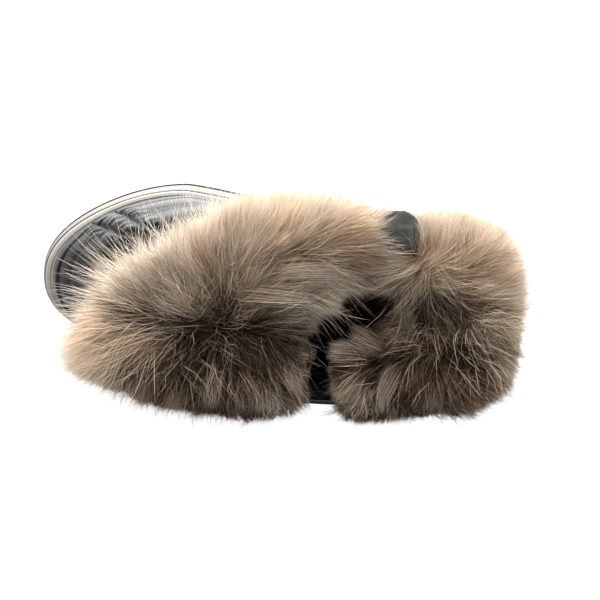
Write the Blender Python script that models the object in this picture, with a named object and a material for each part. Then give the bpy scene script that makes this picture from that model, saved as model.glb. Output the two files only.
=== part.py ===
"""A fur-cuffed snow boot for the right foot, standing on its sole.

The toe points along -X, the outer (lateral) side of the foot faces +Y and +Z is up. The
boot is worked out with X = 0 under the middle of the heel, and at the end its origin moves
to the floor under the middle of its box. Everything follows one surface, the
outside of the upper: it is a stack of closed rings, from the feather edge where it meets the
sole up to the collar. Each ring runs from the toe back along the lateral side to the heel,
then forward along the medial side. Sole, rand, insole and fur cuff take their outlines from
the same rings.
"""

import math
from collections import namedtuple

import bmesh
import bpy
from mathutils import Vector

# Foot and upper
UPPER_LENGTH = 0.266  # toe to heel along the feather edge
BALL_WIDTH = 0.092  # across the feather edge at the ball
HEEL_WIDTH = 0.058  # across the feather edge at the heel
WAIST_PINCH = 0.006  # how far each side draws in between ball and heel
HEEL_BACK = 0.030  # the feather edge's rearmost X
TOE_SWING = 0.005  # the toe tip lies this far towards the medial side
BALL_SWING = 0.0022  # the ball lies this far towards the lateral side
TOE_HEIGHT = 0.038  # toe box above the feather edge
INSTEP_HEIGHT = 0.080  # throat above the feather edge
SHAFT_HEIGHT = 0.176  # collar above the feather edge
SHAFT_DEPTH = 0.148  # collar, front to back
SHAFT_WIDTH = 0.087  # collar, side to side
SHAFT_LEAN = 0.0035  # the collar leans this far towards the medial side
WALL = 0.003  # leather, insulation and lining together
CREASE_DEPTH = 0.0016  # the sewn troughs between the vamp's padded panels
PUFF_HEIGHT = 0.0008  # how far the padding stands out beside a trough

# Sole
LUG_HEIGHT = 0.004
OUTSOLE_THICKNESS = 0.0045
MIDSOLE_FOREFOOT = 0.013
MIDSOLE_HEEL = 0.020
TOE_SPRING = 0.012
TOE_SPRING_START = -0.165
HEEL_RAMP = (-0.120, -0.040)  # where the midsole thickens from forefoot to heel
ARCH = (-0.098, -0.040)  # where the tread leaves the floor
ARCH_RISE = 0.003
HEEL_BEVEL = (0.023, 0.039)  # where the tread turns up at the heel's end
HEEL_BEVEL_RISE = 0.0028
RAND_HEIGHT = 0.0106
RAND_THICKNESS = 0.0048
PINSTRIPE_HEIGHT = 0.0014
RAND_LEAN = 0.30  # how far the rand leans back at the toe, for each metre of height
PINSTRIPE_STEP = 0.0005  # the dark line stands out this far past the rand's face
MIDSOLE_LEDGE = 0.0011  # the midsole's top edge stands out this far past the rand
MIDSOLE_FLARE = 0.0023  # and widens by this much towards its foot
OUTSOLE_EDGE = 0.0009  # the outsole stands out this far past the midsole
LUG_GROOVE = 0.0038
LUG_COLUMNS = 5
LUG_ROWS = 22
CHEVRON = 0.009  # the tread's rows point forward by this much in their middle
INSOLE_THICKNESS = 0.005
GAP = 0.0003  # between pieces that meet

# Fur cuff and pull tab
FUR_RISE = 0.027  # top of the fur above the collar
FUR_FRONT = 0.055  # how far the fur stands out at the front
FUR_BACK = 0.014
FUR_LATERAL = (0.012, 0.021)  # at the front and at the back
FUR_MEDIAL = (0.007, 0.007)
FUR_SWING = 0.010  # the front's nose lies this far towards the medial side
FUR_SKEW = 0.022  # and its medial half this far ahead of the middle
FUR_ROUNDNESS = (2.0, 2.8)  # of the fur's outline at the front and at the back
MOUTH_FRONT = 0.036  # how far the fur hangs in over the opening
MOUTH_BACK = 0.036
MOUTH_SIDE = 0.024
LOCK_LENGTH = 0.012  # how far the pointed locks stand out, at the front
LOCK_SHORT = 0.45  # the same at the sides, as a share of that
LOCK_SWEEP = 0.010  # how far they reach the way the fur lies
TAB_WIDTH = 0.019
TAB_THICKNESS = 0.0034
TAB_REACH = 0.012  # beyond the collar
TAB_RISE = 0.013
TAB_CLEARANCE = 0.0019  # between its middle and the lining, which curves past it
TAB_CORNER = 0.006

# Where the rings have a point, as shares of the way from toe to heel. Seams and the ends of
# the fur cuff lie on these.
STATIONS = (0, 0.006, 0.022, 0.045, 0.07, 0.10, 0.127, 0.155, 0.19, 0.235, 0.29, 0.345,
            0.40, 0.465, 0.53, 0.585, 0.685, 0.785, 0.86, 0.92, 0.96, 0.985, 0.997, 1)
SEAM_STATIONS = (0.10, 0.155)
PUFF_STATIONS = (0.07, 0.127, 0.19)
LATERAL_GAP = (0.585, 0.785)  # the cuff is open here, and the pull tab lies in it
MEDIAL_GAP = (0.345, 0.53)  # and here, where the bare collar shows
ROUNDNESS = 2.2  # of every ring's ends, where 2 is an ellipse

Section = namedtuple(
    "Section", "front_level back_level shaft reach back follow ball ball_at heel heel_at "
    "swing lean crease")

# Rings of the upper. Levels count feather edge 0, rand top 1, toe box 2, instep 3, collar 4.
# shaft says how far a ring follows the shaft's sizes in place of the foot's; reach is its
# length, ball and heel its half widths and back its rear end, as shares of those sizes.
# follow says how far it keeps to the curve of the sole, and ball_at and heel_at where along
# it the widths are reached. crease scales the troughs between the vamp's panels.
SECTIONS = (
    Section(0.00, 0.00, 0.00, 1.000, 0.0000, 1.0, 1.000, 0.336, 1.000, 0.88, 1.0, 0.00, 0.0),
    Section(1.00, 1.00, 0.00, 1.000, 0.0094, 1.0, 1.054, 0.340, 1.090, 0.88, 1.0, 0.00, 0.4),
    Section(1.62, 1.55, 0.00, 0.977, 0.0150, 0.9, 1.030, 0.330, 1.130, 0.88, 1.0, 0.00, 1.0),
    Section(2.08, 2.08, 0.10, 0.970, 0.0132, 0.7, 0.940, 0.330, 1.090, 0.87, 0.9, 0.02, 1.0),
    Section(2.24, 2.46, 0.30, 0.971, 0.0056, 0.4, 0.862, 0.360, 0.990, 0.86, 0.7, 0.05, 0.9),
    Section(2.45, 2.81, 0.55, 0.982, -0.0038, 0.2, 0.862, 0.380, 0.885, 0.84, 0.4, 0.10, 0.6),
    Section(2.78, 3.08, 0.80, 0.998, -0.0132, 0.1, 0.880, 0.400, 0.812, 0.82, 0.2, 0.20, 0.3),
    Section(3.12, 3.27, 0.95, 0.993, -0.0207, 0.0, 0.902, 0.420, 0.786, 0.80, 0.1, 0.35, 0.1),
    Section(3.32, 3.45, 1.00, 0.970, -0.0244, 0.0, 0.930, 0.450, 0.807, 0.75, 0.0, 0.50, 0.0),
    Section(3.55, 3.63, 1.00, 0.955, -0.0244, 0.0, 0.966, 0.480, 0.864, 0.68, 0.0, 0.70, 0.0),
    Section(3.78, 3.82, 1.00, 0.970, -0.0207, 0.0, 0.989, 0.500, 0.932, 0.60, 0.0, 0.85, 0.0),
    Section(4.00, 4.00, 1.00, 1.000, -0.0150, 0.0, 1.000, 0.500, 1.000, 0.50, 0.0, 1.00, 0.0),
)
RAND_ROW = 1
HEM_ROW = 8
COLLAR_ROW = len(SECTIONS) - 1
UPPER_ROWS = (0, 0.5, 1, 1.5, 2, 2.5, 3, 3.5, 4, 4.5, 5, 5.5, 6, 6.5, 7, 8, 9, 10, 11)

FurRing = namedtuple("FurRing", "name outward inward rise drop")

# Rings of the fur, from the hem up the outside, over the crest and in over the opening.
# outward and inward are shares of the fur's and the mouth's named sizes, rise of FUR_RISE
# above the collar and drop of the way from the collar down to the hem.
FUR_RINGS = (
    FurRing("hem", 0.34, 0.0, 0.00, 1.06),
    FurRing("skirt", 0.80, 0.0, 0.00, 0.82),
    FurRing("belly", 1.00, 0.0, 0.00, 0.50),
    FurRing("shoulder", 0.97, 0.0, 0.00, 0.14),
    FurRing("crown", 0.66, 0.0, 0.52, 0.00),
    FurRing("crest", 0.14, 0.0, 1.00, 0.00),
    FurRing("inner_crown", 0.0, 0.55, 0.82, 0.00),
    FurRing("lip", 0.0, 1.00, 0.30, 0.00),
)
# The part of the pull tab sewn inside the shaft, as rows of the upper
TAB_ROWS = (10, 10.5, 11)

# How far the fur keeps its depth at and next to the ends of a cuff piece
FUR_END_DEPTH = (0.78, 0.94)


def smooth(t):
    t = min(1.0, max(0.0, t))
    return t * t * (3 - 2 * t)


def mix(a, b, t):
    return a + (b - a) * t


def catmull_rom(before, start, end, after, t):
    """The value at t between start and end on a smooth curve through all four."""
    bend = (2 * before - 5 * start + 4 * end - after) * t + 3 * (start - end) + after - before
    return start + 0.5 * t * (end - before + t * bend)


def spring(x):
    """How far the toe end of the sole curves up."""
    tip = HEEL_BACK - UPPER_LENGTH
    return TOE_SPRING * max(0.0, (TOE_SPRING_START - x) / (TOE_SPRING_START - tip)) ** 2


def tread_rise(x):
    """How far the foot of the tread lies above the floor."""
    across = min(1.0, max(0.0, (x - ARCH[0]) / (ARCH[1] - ARCH[0])))
    past = max(0.0, (x - HEEL_BEVEL[0]) / (HEEL_BEVEL[1] - HEEL_BEVEL[0]))
    arch = ARCH_RISE * math.sin(math.pi * across) ** 2
    return spring(x) + arch + HEEL_BEVEL_RISE * past ** 2


def outsole_top(x):
    return LUG_HEIGHT + OUTSOLE_THICKNESS + spring(x)


def midsole_top(x):
    ramp = smooth((x - HEEL_RAMP[0]) / (HEEL_RAMP[1] - HEEL_RAMP[0]))
    return outsole_top(x) + GAP + mix(MIDSOLE_FOREFOOT, MIDSOLE_HEEL, ramp)


def feather(x):
    return midsole_top(x) + GAP


def height(level):
    """The height of a level above the feather edge."""
    steps = (0, PINSTRIPE_HEIGHT + RAND_HEIGHT, TOE_HEIGHT, INSTEP_HEIGHT, SHAFT_HEIGHT)
    lower = min(int(level), len(steps) - 2)
    return mix(steps[lower], steps[lower + 1], level - lower)


def section_at(row):
    """The table's columns at a row number, which may lie between two rings."""
    lower = min(int(row), COLLAR_ROW - 1)
    near = [SECTIONS[min(max(lower + step, 0), COLLAR_ROW)] for step in (-1, 0, 1, 2)]
    return Section(*(catmull_rom(*column, row - lower) for column in zip(*near)))


def ring_shape(share, ball, ball_at, heel, heel_at, pinch=0.0, power=ROUNDNESS):
    """A ring's half width at a share of the way from toe to heel."""
    if share < ball_at:
        return ball * (1 - (1 - share / ball_at) ** power) ** (1 / power)
    if share > heel_at:
        return heel * (1 - ((share - heel_at) / (1 - heel_at)) ** power) ** (1 / power)
    between = (share - ball_at) / max(heel_at - ball_at, 1e-6)
    return mix(ball, heel, smooth(between)) - pinch * math.sin(math.pi * between)


def upper_point(row, share, side):
    """A point of the upper's outside; side is 1 on the lateral side and -1 on the medial."""
    sec = section_at(row)
    length = mix(UPPER_LENGTH, SHAFT_DEPTH, sec.shaft) * sec.reach
    back = HEEL_BACK + sec.back * UPPER_LENGTH
    x = back - length * (1 - share)
    ball = mix(BALL_WIDTH, SHAFT_WIDTH, sec.shaft) / 2 * sec.ball
    heel = mix(HEEL_WIDTH, SHAFT_WIDTH, sec.shaft) / 2 * sec.heel
    half = ring_shape(share, ball, sec.ball_at, heel, sec.heel_at, WAIST_PINCH * sec.swing)
    if share < sec.ball_at:
        bow = mix(-TOE_SWING, BALL_SWING, smooth(share / sec.ball_at))
    else:
        bow = mix(BALL_SWING, 0, smooth((share - sec.ball_at) / (1 - sec.ball_at)))
    y = side * half + sec.swing * bow - sec.lean * SHAFT_LEAN
    seat = feather(HEEL_BACK)
    rise = mix(height(sec.front_level), height(sec.back_level), share)
    return Vector((x, y, seat + rise + sec.follow * (feather(x) - seat)))


def around(stations=STATIONS):
    """(share, side) of each point of a ring: toe, lateral side, heel, medial side."""
    lateral = [(share, 1) for share in stations]
    return lateral + [(share, -1) for share in stations[-2:0:-1]]


def upper_ring(row, stations=STATIONS):
    return [upper_point(row, share, side) for share, side in around(stations)]


def plan_normals(ring):
    """The horizontal outward direction at each point of a ring."""
    count = len(ring)
    found = []
    for i in range(count):
        along = ring[(i + 1) % count] - ring[i - 1]
        found.append(Vector((-along.y, along.x, 0)).normalized())
    return found


def spread(ring, distance, level=None):
    """The ring moved outward by distance, at the height that level gives for each X."""
    moved = [p + n * distance for p, n in zip(ring, plan_normals(ring))]
    if level:
        moved = [Vector((p.x, p.y, level(p.x))) for p in moved]
    return moved


def surface_normals(rings):
    """The outward direction at each point of a stack of rings, level at its two edges."""
    found = [plan_normals(rings[0])]
    for below, here, above in zip(rings, rings[1:], rings[2:]):
        count = len(here)
        row = []
        for i in range(count):
            along = here[(i + 1) % count] - here[i - 1]
            row.append((above[i] - below[i]).cross(along).normalized())
        found.append(row)
    return found + [plan_normals(rings[-1])]


def material(name, colour, roughness, metallic=0.0):
    made = bpy.data.materials.new(name)
    made.use_nodes = True
    shader = made.node_tree.nodes["Principled BSDF"]
    shader.inputs["Base Color"].default_value = (*colour, 1)
    shader.inputs["Roughness"].default_value = roughness
    shader.inputs["Metallic"].default_value = metallic
    return made


def solid(name, points, faces, look, smooth_angle=40):
    """An object from points and faces that close, with its faces turned outward."""
    mesh = bpy.data.meshes.new(name)
    mesh.from_pydata([tuple(p) for p in points], [], faces)
    shape = bmesh.new()
    shape.from_mesh(mesh)
    bmesh.ops.recalc_face_normals(shape, faces=shape.faces)
    bmesh.ops.triangulate(shape, faces=shape.faces)
    shape.to_mesh(mesh)
    shape.free()
    mesh.shade_smooth()
    mesh.set_sharp_from_angle(angle=math.radians(smooth_angle))
    mesh.materials.append(look)
    made = bpy.data.objects.new(name, mesh)
    bpy.context.scene.collection.objects.link(made)
    return made


def skin(ring_count, size, wrap):
    """Faces between neighbouring rings of size points; wrap also joins the last to the first."""
    faces = []
    for j in range(ring_count if wrap else ring_count - 1):
        below, above = j * size, (j + 1) % ring_count * size
        for i in range(size):
            after = (i + 1) % size
            faces.append((below + i, below + after, above + after, above + i))
    return faces


def ladder(start, size):
    """Faces that close a toe-to-heel ring, each rung joining its two sides."""
    last = size // 2
    faces = [(start, start + 1, start + size - 1)]
    for i in range(1, last - 1):
        faces.append((start + i, start + i + 1, start + size - i - 1, start + size - i))
    faces.append((start + last - 1, start + last, start + last + 1))
    return faces


def tube_solid(name, rings, look):
    """A solid whose section is the closed chain of rings, such as a wall or a band."""
    points = [p for ring in rings for p in ring]
    return solid(name, points, skin(len(rings), len(rings[0]), wrap=True), look)


def slab_solid(name, rings, look):
    """A solid between its first and last ring, both closed across."""
    size = len(rings[0])
    points = [p for ring in rings for p in ring]
    faces = skin(len(rings), size, wrap=False)
    faces += ladder(0, size) + ladder(len(points) - size, size)
    return solid(name, points, faces, look)


def rand_outer(rise=0.0, step=0.0):
    """The rand's outer face at a height above the feather edge, moved out by step."""
    ring = spread(upper_ring(0), GAP + RAND_THICKNESS + step, lambda x: feather(x) + rise)
    for point in ring:
        point.x += RAND_LEAN * rise * smooth((-0.150 - point.x) / 0.080)
    return ring


def tread_stations():
    """Evenly spaced rows of the tread, closer together where toe and heel end."""
    rows = [0.036 + 0.928 * i / LUG_ROWS for i in range(LUG_ROWS + 1)]
    return (0, 0.010, *rows, 0.990, 1)


def make_upper(look):
    """One hollow leather shell, open at the collar and underneath."""
    outside = [upper_ring(row) for row in UPPER_ROWS]
    normals = surface_normals(outside)
    inside = []
    for ring, directions, row in zip(outside, normals, UPPER_ROWS):
        crease = section_at(row).crease
        inner = []
        for i, (share, _side) in enumerate(around()):
            inner.append(ring[i] - directions[i] * WALL)
            if share in SEAM_STATIONS:
                ring[i] = ring[i] - directions[i] * CREASE_DEPTH * crease
            elif share in PUFF_STATIONS:
                ring[i] = ring[i] + directions[i] * PUFF_HEIGHT * crease
        inside.append(inner)
    inside[0] = [Vector((p.x, p.y, feather(p.x))) for p in inside[0]]
    return tube_solid("upper", outside + inside[::-1], look)


def make_rand(look):
    """The upper pale band of the sole's side, wrapped round the foot of the upper."""
    seat = PINSTRIPE_HEIGHT + GAP
    puff = GAP + PUFF_HEIGHT
    lower = spread(upper_ring(0), puff, lambda x: feather(x) + seat)
    middle = spread(upper_ring(RAND_ROW / 2), puff)
    upper = spread(upper_ring(RAND_ROW), puff)
    outside = [rand_outer(seat), rand_outer(seat + 0.5 * RAND_HEIGHT, 0.0002),
               rand_outer(seat + 0.86 * RAND_HEIGHT, -0.0005)]
    shoulder = [a.lerp(b, 0.5) for a, b in zip(outside[-1], upper)]
    for point, top in zip(shoulder, upper):
        point.z = top.z
    return tube_solid("rand", [lower, *outside, shoulder, upper, middle], look)


def make_pinstripe(look):
    """The dark line between the two pale bands."""
    inner = spread(upper_ring(0), GAP + PUFF_HEIGHT, feather)
    raised = [p + Vector((0, 0, PINSTRIPE_HEIGHT)) for p in inner]
    face = rand_outer(0, PINSTRIPE_STEP)
    raised_face = rand_outer(PINSTRIPE_HEIGHT, PINSTRIPE_STEP)
    return tube_solid("pinstripe", [inner, face, raised_face, raised], look)


def make_midsole(look):
    """The lower pale band: a slab under the whole upper, flared towards the floor."""
    face = rand_outer()
    steps = ((0.0, 1.0), (0.50, 0.72), (0.86, 0.26), (1.0, -0.10))
    rings = []
    for rise, flare in steps:
        ring = spread(face, MIDSOLE_LEDGE + MIDSOLE_FLARE * flare)
        for point in ring:
            bottom = outsole_top(point.x) + GAP
            point.z = mix(bottom, midsole_top(point.x), rise)
        rings.append(ring)
    return slab_solid("midsole", rings, look)


def make_insole(look):
    """The footbed, inside the wall of the upper and dished at the heel."""
    edge = spread(upper_ring(0), -WALL - 3 * GAP, lambda x: feather(x))
    top = spread(upper_ring(0), -WALL - 5 * GAP, lambda x: feather(x) + INSOLE_THICKNESS)
    return slab_solid("insole", [edge, top], look)


def tread_faces(shape, ring, edge):
    """The underside as rows of faces that point forward in the middle, and those for lugs."""
    last = len(ring) // 2
    rows = []
    for i in range(1, last):
        lateral, medial = ring[i], ring[len(ring) - i]
        row = [edge[i]]
        for column in range(1, LUG_COLUMNS):
            across = column / LUG_COLUMNS
            point = lateral.lerp(medial, across)
            bend = math.sin(math.pi * i / last) ** 0.5
            x = point.x - CHEVRON * (1 - abs(2 * across - 1)) * bend
            row.append(shape.verts.new((x, point.y, LUG_HEIGHT + tread_rise(x))))
        rows.append(row + [edge[len(ring) - i]])
    lugs = []
    for number, (front, back) in enumerate(zip(rows, rows[1:])):
        for column in range(LUG_COLUMNS):
            face = shape.faces.new(
                (front[column], front[column + 1], back[column + 1], back[column]))
            if 0 < number < len(rows) - 2:
                lugs.append(face)
    for column in range(LUG_COLUMNS):
        shape.faces.new((edge[0], rows[0][column + 1], rows[0][column]))
        shape.faces.new((edge[last], rows[-1][column], rows[-1][column + 1]))
    return lugs


def make_outsole(look):
    """Black rubber with a tread of blocks, flat on the floor at heel and forefoot."""
    outline = upper_ring(0, tread_stations())
    reach = GAP + RAND_THICKNESS + MIDSOLE_LEDGE + MIDSOLE_FLARE + OUTSOLE_EDGE
    top = spread(outline, reach, outsole_top)
    foot = spread(outline, reach - 0.0005, lambda x: LUG_HEIGHT + tread_rise(x))
    shape = bmesh.new()
    upper_edge = [shape.verts.new(p) for p in top]
    lower_edge = [shape.verts.new(p) for p in foot]
    size = len(top)
    for i in range(size):
        after = (i + 1) % size
        shape.faces.new((lower_edge[i], lower_edge[after], upper_edge[after], upper_edge[i]))
    for face in ladder(0, size):
        shape.faces.new([upper_edge[i] for i in face])
    lugs = tread_faces(shape, foot, lower_edge)
    bmesh.ops.recalc_face_normals(shape, faces=shape.faces)
    bmesh.ops.inset_individual(shape, faces=lugs, thickness=LUG_GROOVE / 2)
    blocks = bmesh.ops.extrude_discrete_faces(shape, faces=lugs)["faces"]
    for face in blocks:
        for vert in face.verts:
            vert.co.z = tread_rise(vert.co.x)
    shape.verts.index_update()
    points = [v.co.copy() for v in shape.verts]
    faces = [[v.index for v in face.verts] for face in shape.faces]
    shape.free()
    return solid("outsole", points, faces, look, smooth_angle=25)


def fur_oval(ring, share, side):
    """A fur ring's point before the cuff's ends are drawn in."""
    collar = section_at(COLLAR_ROW)
    back = HEEL_BACK + collar.back * UPPER_LENGTH
    front = back - SHAFT_DEPTH * collar.reach
    deep = mix(*(FUR_LATERAL if side > 0 else FUR_MEDIAL), share)
    front += ring.inward * MOUTH_FRONT - ring.outward * FUR_FRONT
    back += ring.outward * FUR_BACK - ring.inward * MOUTH_BACK
    half = SHAFT_WIDTH / 2 + ring.outward * deep - ring.inward * MOUTH_SIDE
    end = FUR_ROUNDNESS[0] if share < collar.ball_at else FUR_ROUNDNESS[1]
    power = mix(ROUNDNESS, end, ring.outward)
    here = side * ring_shape(share, 1, collar.ball_at, 1, collar.heel_at, power=power)
    ahead = ring.outward * smooth(1 - share / collar.ball_at)
    x = mix(front, back, share) + FUR_SKEW * ahead * here
    return Vector((x, here * half - SHAFT_LEAN - FUR_SWING * ahead, 0))


def fur_ring(ring, stations, depths):
    """One ring of a cuff piece, from end to end of its stations."""
    made = []
    for (share, side), depth in zip(stations, depths):
        collar = upper_point(COLLAR_ROW, share, side)
        hem = upper_point(HEM_ROW, share, side)
        flat = fur_oval(ring, share, side)
        point = collar.lerp(Vector((flat.x, flat.y, collar.z)), depth)
        point.z = collar.z + ring.rise * FUR_RISE * (0.3 + 0.7 * depth)
        point.z -= ring.drop * (collar.z - hem.z)
        if ring.drop > 0 and ring.outward < 0.5:
            point.z = min(point.z, hem.z - GAP)
        made.append(point)
    return made


def scatter(a, b):
    """A number from -1 to 1 that looks random and is the same each time."""
    return 2 * ((math.sin(a * 12.9898 + b * 78.233) * 43758.5453) % 1) - 1


def add_locks(shape, quads, outward):
    """Turns each quad of the fur into a pointed lock, swept the way the fur lies."""
    for number, (corners, flow) in enumerate(quads):
        middle = sum((v.co for v in corners), Vector()) / len(corners)
        normal = (corners[2].co - corners[0].co).cross(corners[3].co - corners[1].co)
        normal.normalize()
        if normal.dot(middle - outward) < 0:
            normal.negate()
        forward = smooth((HEEL_BACK - SHAFT_DEPTH * 0.55 - middle.x) / (SHAFT_DEPTH * 0.7))
        length = LOCK_LENGTH * mix(LOCK_SHORT, 1, forward) * (1 + 0.3 * scatter(number, 1))
        sweep = LOCK_SWEEP * (1 + 0.4 * scatter(number, 2))
        lean = (normal + Vector((0, 0, -0.15))) * length * flow.length
        drift = flow.normalized() * sweep
        waist = [v.co.lerp(middle, 0.42) + lean * 0.45 + drift * 0.3 for v in corners]
        waist = [shape.verts.new(p) for p in waist]
        tip = shape.verts.new(middle + lean + drift)
        for i in range(4):
            after = (i + 1) % 4
            shape.faces.new((corners[i], corners[after], waist[after], waist[i]))
            shape.faces.new((waist[i], waist[after], tip))


def make_fur(name, stations, look):
    """One piece of the fur cuff: it hugs the shaft, covers the collar and hangs over it."""
    count = len(stations)
    depths = [1.0] * count
    for i, depth in enumerate(FUR_END_DEPTH):
        depths[i] = depths[count - 1 - i] = depth
    places = [around().index(station) for station in stations]
    backing = []
    for row in (COLLAR_ROW, COLLAR_ROW - 1, COLLAR_ROW - 2, HEM_ROW):
        ring = spread(upper_ring(row), GAP)
        backing.append([ring[i] for i in places])
    rim_top = [p + Vector((0, 0, GAP)) for p in backing[0]]
    inner = spread(upper_ring(COLLAR_ROW), -WALL - GAP)
    rim_inside = [inner[i] + Vector((0, 0, GAP)) for i in places]
    chain = [fur_ring(ring, stations, depths) for ring in FUR_RINGS]
    chain += [rim_inside, rim_top, *backing[1:]]

    shape = bmesh.new()
    verts = [[shape.verts.new(p) for p in ring] for ring in chain]
    centre = Vector((HEEL_BACK - SHAFT_DEPTH / 2, -SHAFT_LEAN, rim_top[0].z - 0.03))
    fur_rows = len(FUR_RINGS) - 1
    quads = []
    for j in range(len(chain)):
        above = (j + 1) % len(chain)
        for i in range(count - 1):
            corners = (verts[j][i], verts[j][i + 1], verts[above][i + 1], verts[above][i])
            if j >= fur_rows:
                shape.faces.new(corners)
                continue
            down = (corners[0].co - corners[3].co).normalized()
            if FUR_RINGS[above].inward:
                down = -down
            ends = min(i, count - 2 - i)
            strength = (0.3, 0.7, 1.0)[min(ends, 2)]
            quads.append((corners, down * strength * (0.7 if FUR_RINGS[above].inward else 1)))
    for end in (0, -1):
        shape.faces.new([ring[end] for ring in verts])
    add_locks(shape, quads, centre)
    shape.verts.index_update()
    points = [v.co.copy() for v in shape.verts]
    faces = [[v.index for v in face.verts] for face in shape.faces]
    shape.free()
    return solid(name, points, faces, look, smooth_angle=30)


def cuff_stations():
    """Stations of the front and of the back piece, each from one gap to the other."""
    ring = around()
    front_start = ring.index((LATERAL_GAP[0], 1))
    front_end = ring.index((MEDIAL_GAP[0], -1)) - len(ring)
    front = [ring[i] for i in range(front_start, front_end - 1, -1)]
    back = ring[ring.index((LATERAL_GAP[1], 1)):ring.index((MEDIAL_GAP[1], -1)) + 1]
    return front, back


def make_pull_tab(look):
    """A doubled strip sewn inside the collar, which leaves it between the two fur pieces."""
    share = sum(LATERAL_GAP) / 2
    collar = upper_point(COLLAR_ROW, share, 1)
    near = [upper_point(COLLAR_ROW, share + step, 1) for step in (-0.01, 0.01)]
    across = near[1] - near[0]
    across.normalize()
    out = Vector((-across.y, across.x, 0))
    lining = -WALL - TAB_CLEARANCE - TAB_THICKNESS / 2
    path = []
    for row in TAB_ROWS:
        point = upper_point(row, share, 1)
        path.append(((point - collar).dot(out) + lining, point.z))
    bend = collar.z + TAB_RISE
    far = TAB_REACH - TAB_CORNER
    path += [(lining, collar.z + 0.45 * TAB_RISE), (lining + 0.0010, collar.z + 0.72 * TAB_RISE),
             (lining + 0.0040, collar.z + 0.93 * TAB_RISE), (lining + 0.0085, bend),
             (mix(lining + 0.0085, far, 0.5), bend + 0.0004), (far, bend - 0.0006),
             (far + 0.7 * TAB_CORNER, bend - 0.0014), (TAB_REACH, bend - 0.0020)]
    halves = [TAB_WIDTH / 2] * (len(path) - 2)
    halves += [TAB_WIDTH / 2 - 0.3 * TAB_CORNER, TAB_WIDTH / 2 - TAB_CORNER]
    points, faces = [], []
    along_wall = across.copy()
    for i, ((reach, z), half) in enumerate(zip(path, halves)):
        before, after = path[max(i - 1, 0)], path[min(i + 1, len(path) - 1)]
        run, climb = after[0] - before[0], after[1] - before[1]
        slope = math.hypot(run, climb)
        turn = smooth((i - 4) / 4)
        across = along_wall.lerp(Vector((1, 0, 0)), turn).normalized()
        out = Vector((-across.y, across.x, 0))
        thick = (out * -climb + Vector((0, 0, run))) * (TAB_THICKNESS / 2 / slope)
        middle = Vector((collar.x, collar.y, z)) + out * reach
        for x, t in ((-half, -1), (half, -1), (half, 1), (-half, 1)):
            points.append(middle + across * x + thick * t)
    for i in range(len(path) - 1):
        for j in range(4):
            after = (j + 1) % 4
            faces.append((4 * i + j, 4 * i + after, 4 * i + 4 + after, 4 * i + 4 + j))
    end = len(points) - 4
    faces += [(0, 1, 2, 3), (end, end + 1, end + 2, end + 3)]
    return solid("pull_tab", points, faces, look)


def centre(pieces):
    """Moves the boot so that the middle of its box lies over the origin."""
    corners = [v.co for piece in pieces for v in piece.data.vertices]
    middle = [(min(c[axis] for c in corners) + max(c[axis] for c in corners)) / 2
              for axis in (0, 1)]
    for piece in pieces:
        for vert in piece.data.vertices:
            vert.co -= Vector((*middle, 0))


def main():
    for old in list(bpy.data.objects):
        bpy.data.objects.remove(old, do_unlink=True)
    leather = material("black leather", (0.028, 0.029, 0.032), 0.38)
    pale_rubber = material("cream rubber", (0.80, 0.77, 0.71), 0.55)
    dark_rubber = material("black rubber", (0.025, 0.026, 0.028), 0.70)
    fur = material("tan and brown fur", (0.36, 0.25, 0.17), 0.85)
    felt = material("charcoal felt", (0.045, 0.050, 0.050), 0.95)
    lining = material("black footbed", (0.012, 0.012, 0.013), 0.95)
    front, back = cuff_stations()
    centre([
        make_outsole(dark_rubber),
        make_midsole(pale_rubber),
        make_pinstripe(dark_rubber),
        make_rand(pale_rubber),
        make_upper(leather),
        make_insole(lining),
        make_fur("fur_cuff_front", front, fur),
        make_fur("fur_cuff_back", back, fur),
        make_pull_tab(felt),
    ])


main()
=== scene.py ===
"""Looks of the fur-cuffed snow boot: smooth sole bands, gathered leather, felt tab and fur.

The toe points along -X, the lateral side of the right foot along +Y, +Z is up.
"""
import math

import bpy
import numpy as np
from mathutils import Matrix, Vector
from mathutils.kdtree import KDTree


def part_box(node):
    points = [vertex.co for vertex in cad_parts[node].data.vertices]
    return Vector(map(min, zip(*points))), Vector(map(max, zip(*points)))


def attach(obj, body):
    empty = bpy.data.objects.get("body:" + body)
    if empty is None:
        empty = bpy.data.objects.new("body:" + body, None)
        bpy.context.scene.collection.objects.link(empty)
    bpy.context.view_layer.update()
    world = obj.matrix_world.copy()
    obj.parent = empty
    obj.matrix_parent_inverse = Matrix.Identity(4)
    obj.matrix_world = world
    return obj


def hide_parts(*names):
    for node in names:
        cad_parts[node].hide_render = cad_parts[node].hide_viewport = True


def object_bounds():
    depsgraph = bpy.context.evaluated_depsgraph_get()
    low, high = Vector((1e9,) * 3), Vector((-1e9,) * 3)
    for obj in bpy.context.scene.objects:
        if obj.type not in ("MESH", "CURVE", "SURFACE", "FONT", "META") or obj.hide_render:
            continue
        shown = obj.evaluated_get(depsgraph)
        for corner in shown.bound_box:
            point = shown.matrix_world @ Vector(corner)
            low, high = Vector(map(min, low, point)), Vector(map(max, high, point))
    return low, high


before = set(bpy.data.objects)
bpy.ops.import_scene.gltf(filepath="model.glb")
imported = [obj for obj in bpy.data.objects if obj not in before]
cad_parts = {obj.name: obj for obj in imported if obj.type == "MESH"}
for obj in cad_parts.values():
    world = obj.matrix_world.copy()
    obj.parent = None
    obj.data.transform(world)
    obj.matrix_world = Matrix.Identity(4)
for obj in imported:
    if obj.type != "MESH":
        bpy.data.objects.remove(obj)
BOX_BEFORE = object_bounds()

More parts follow.
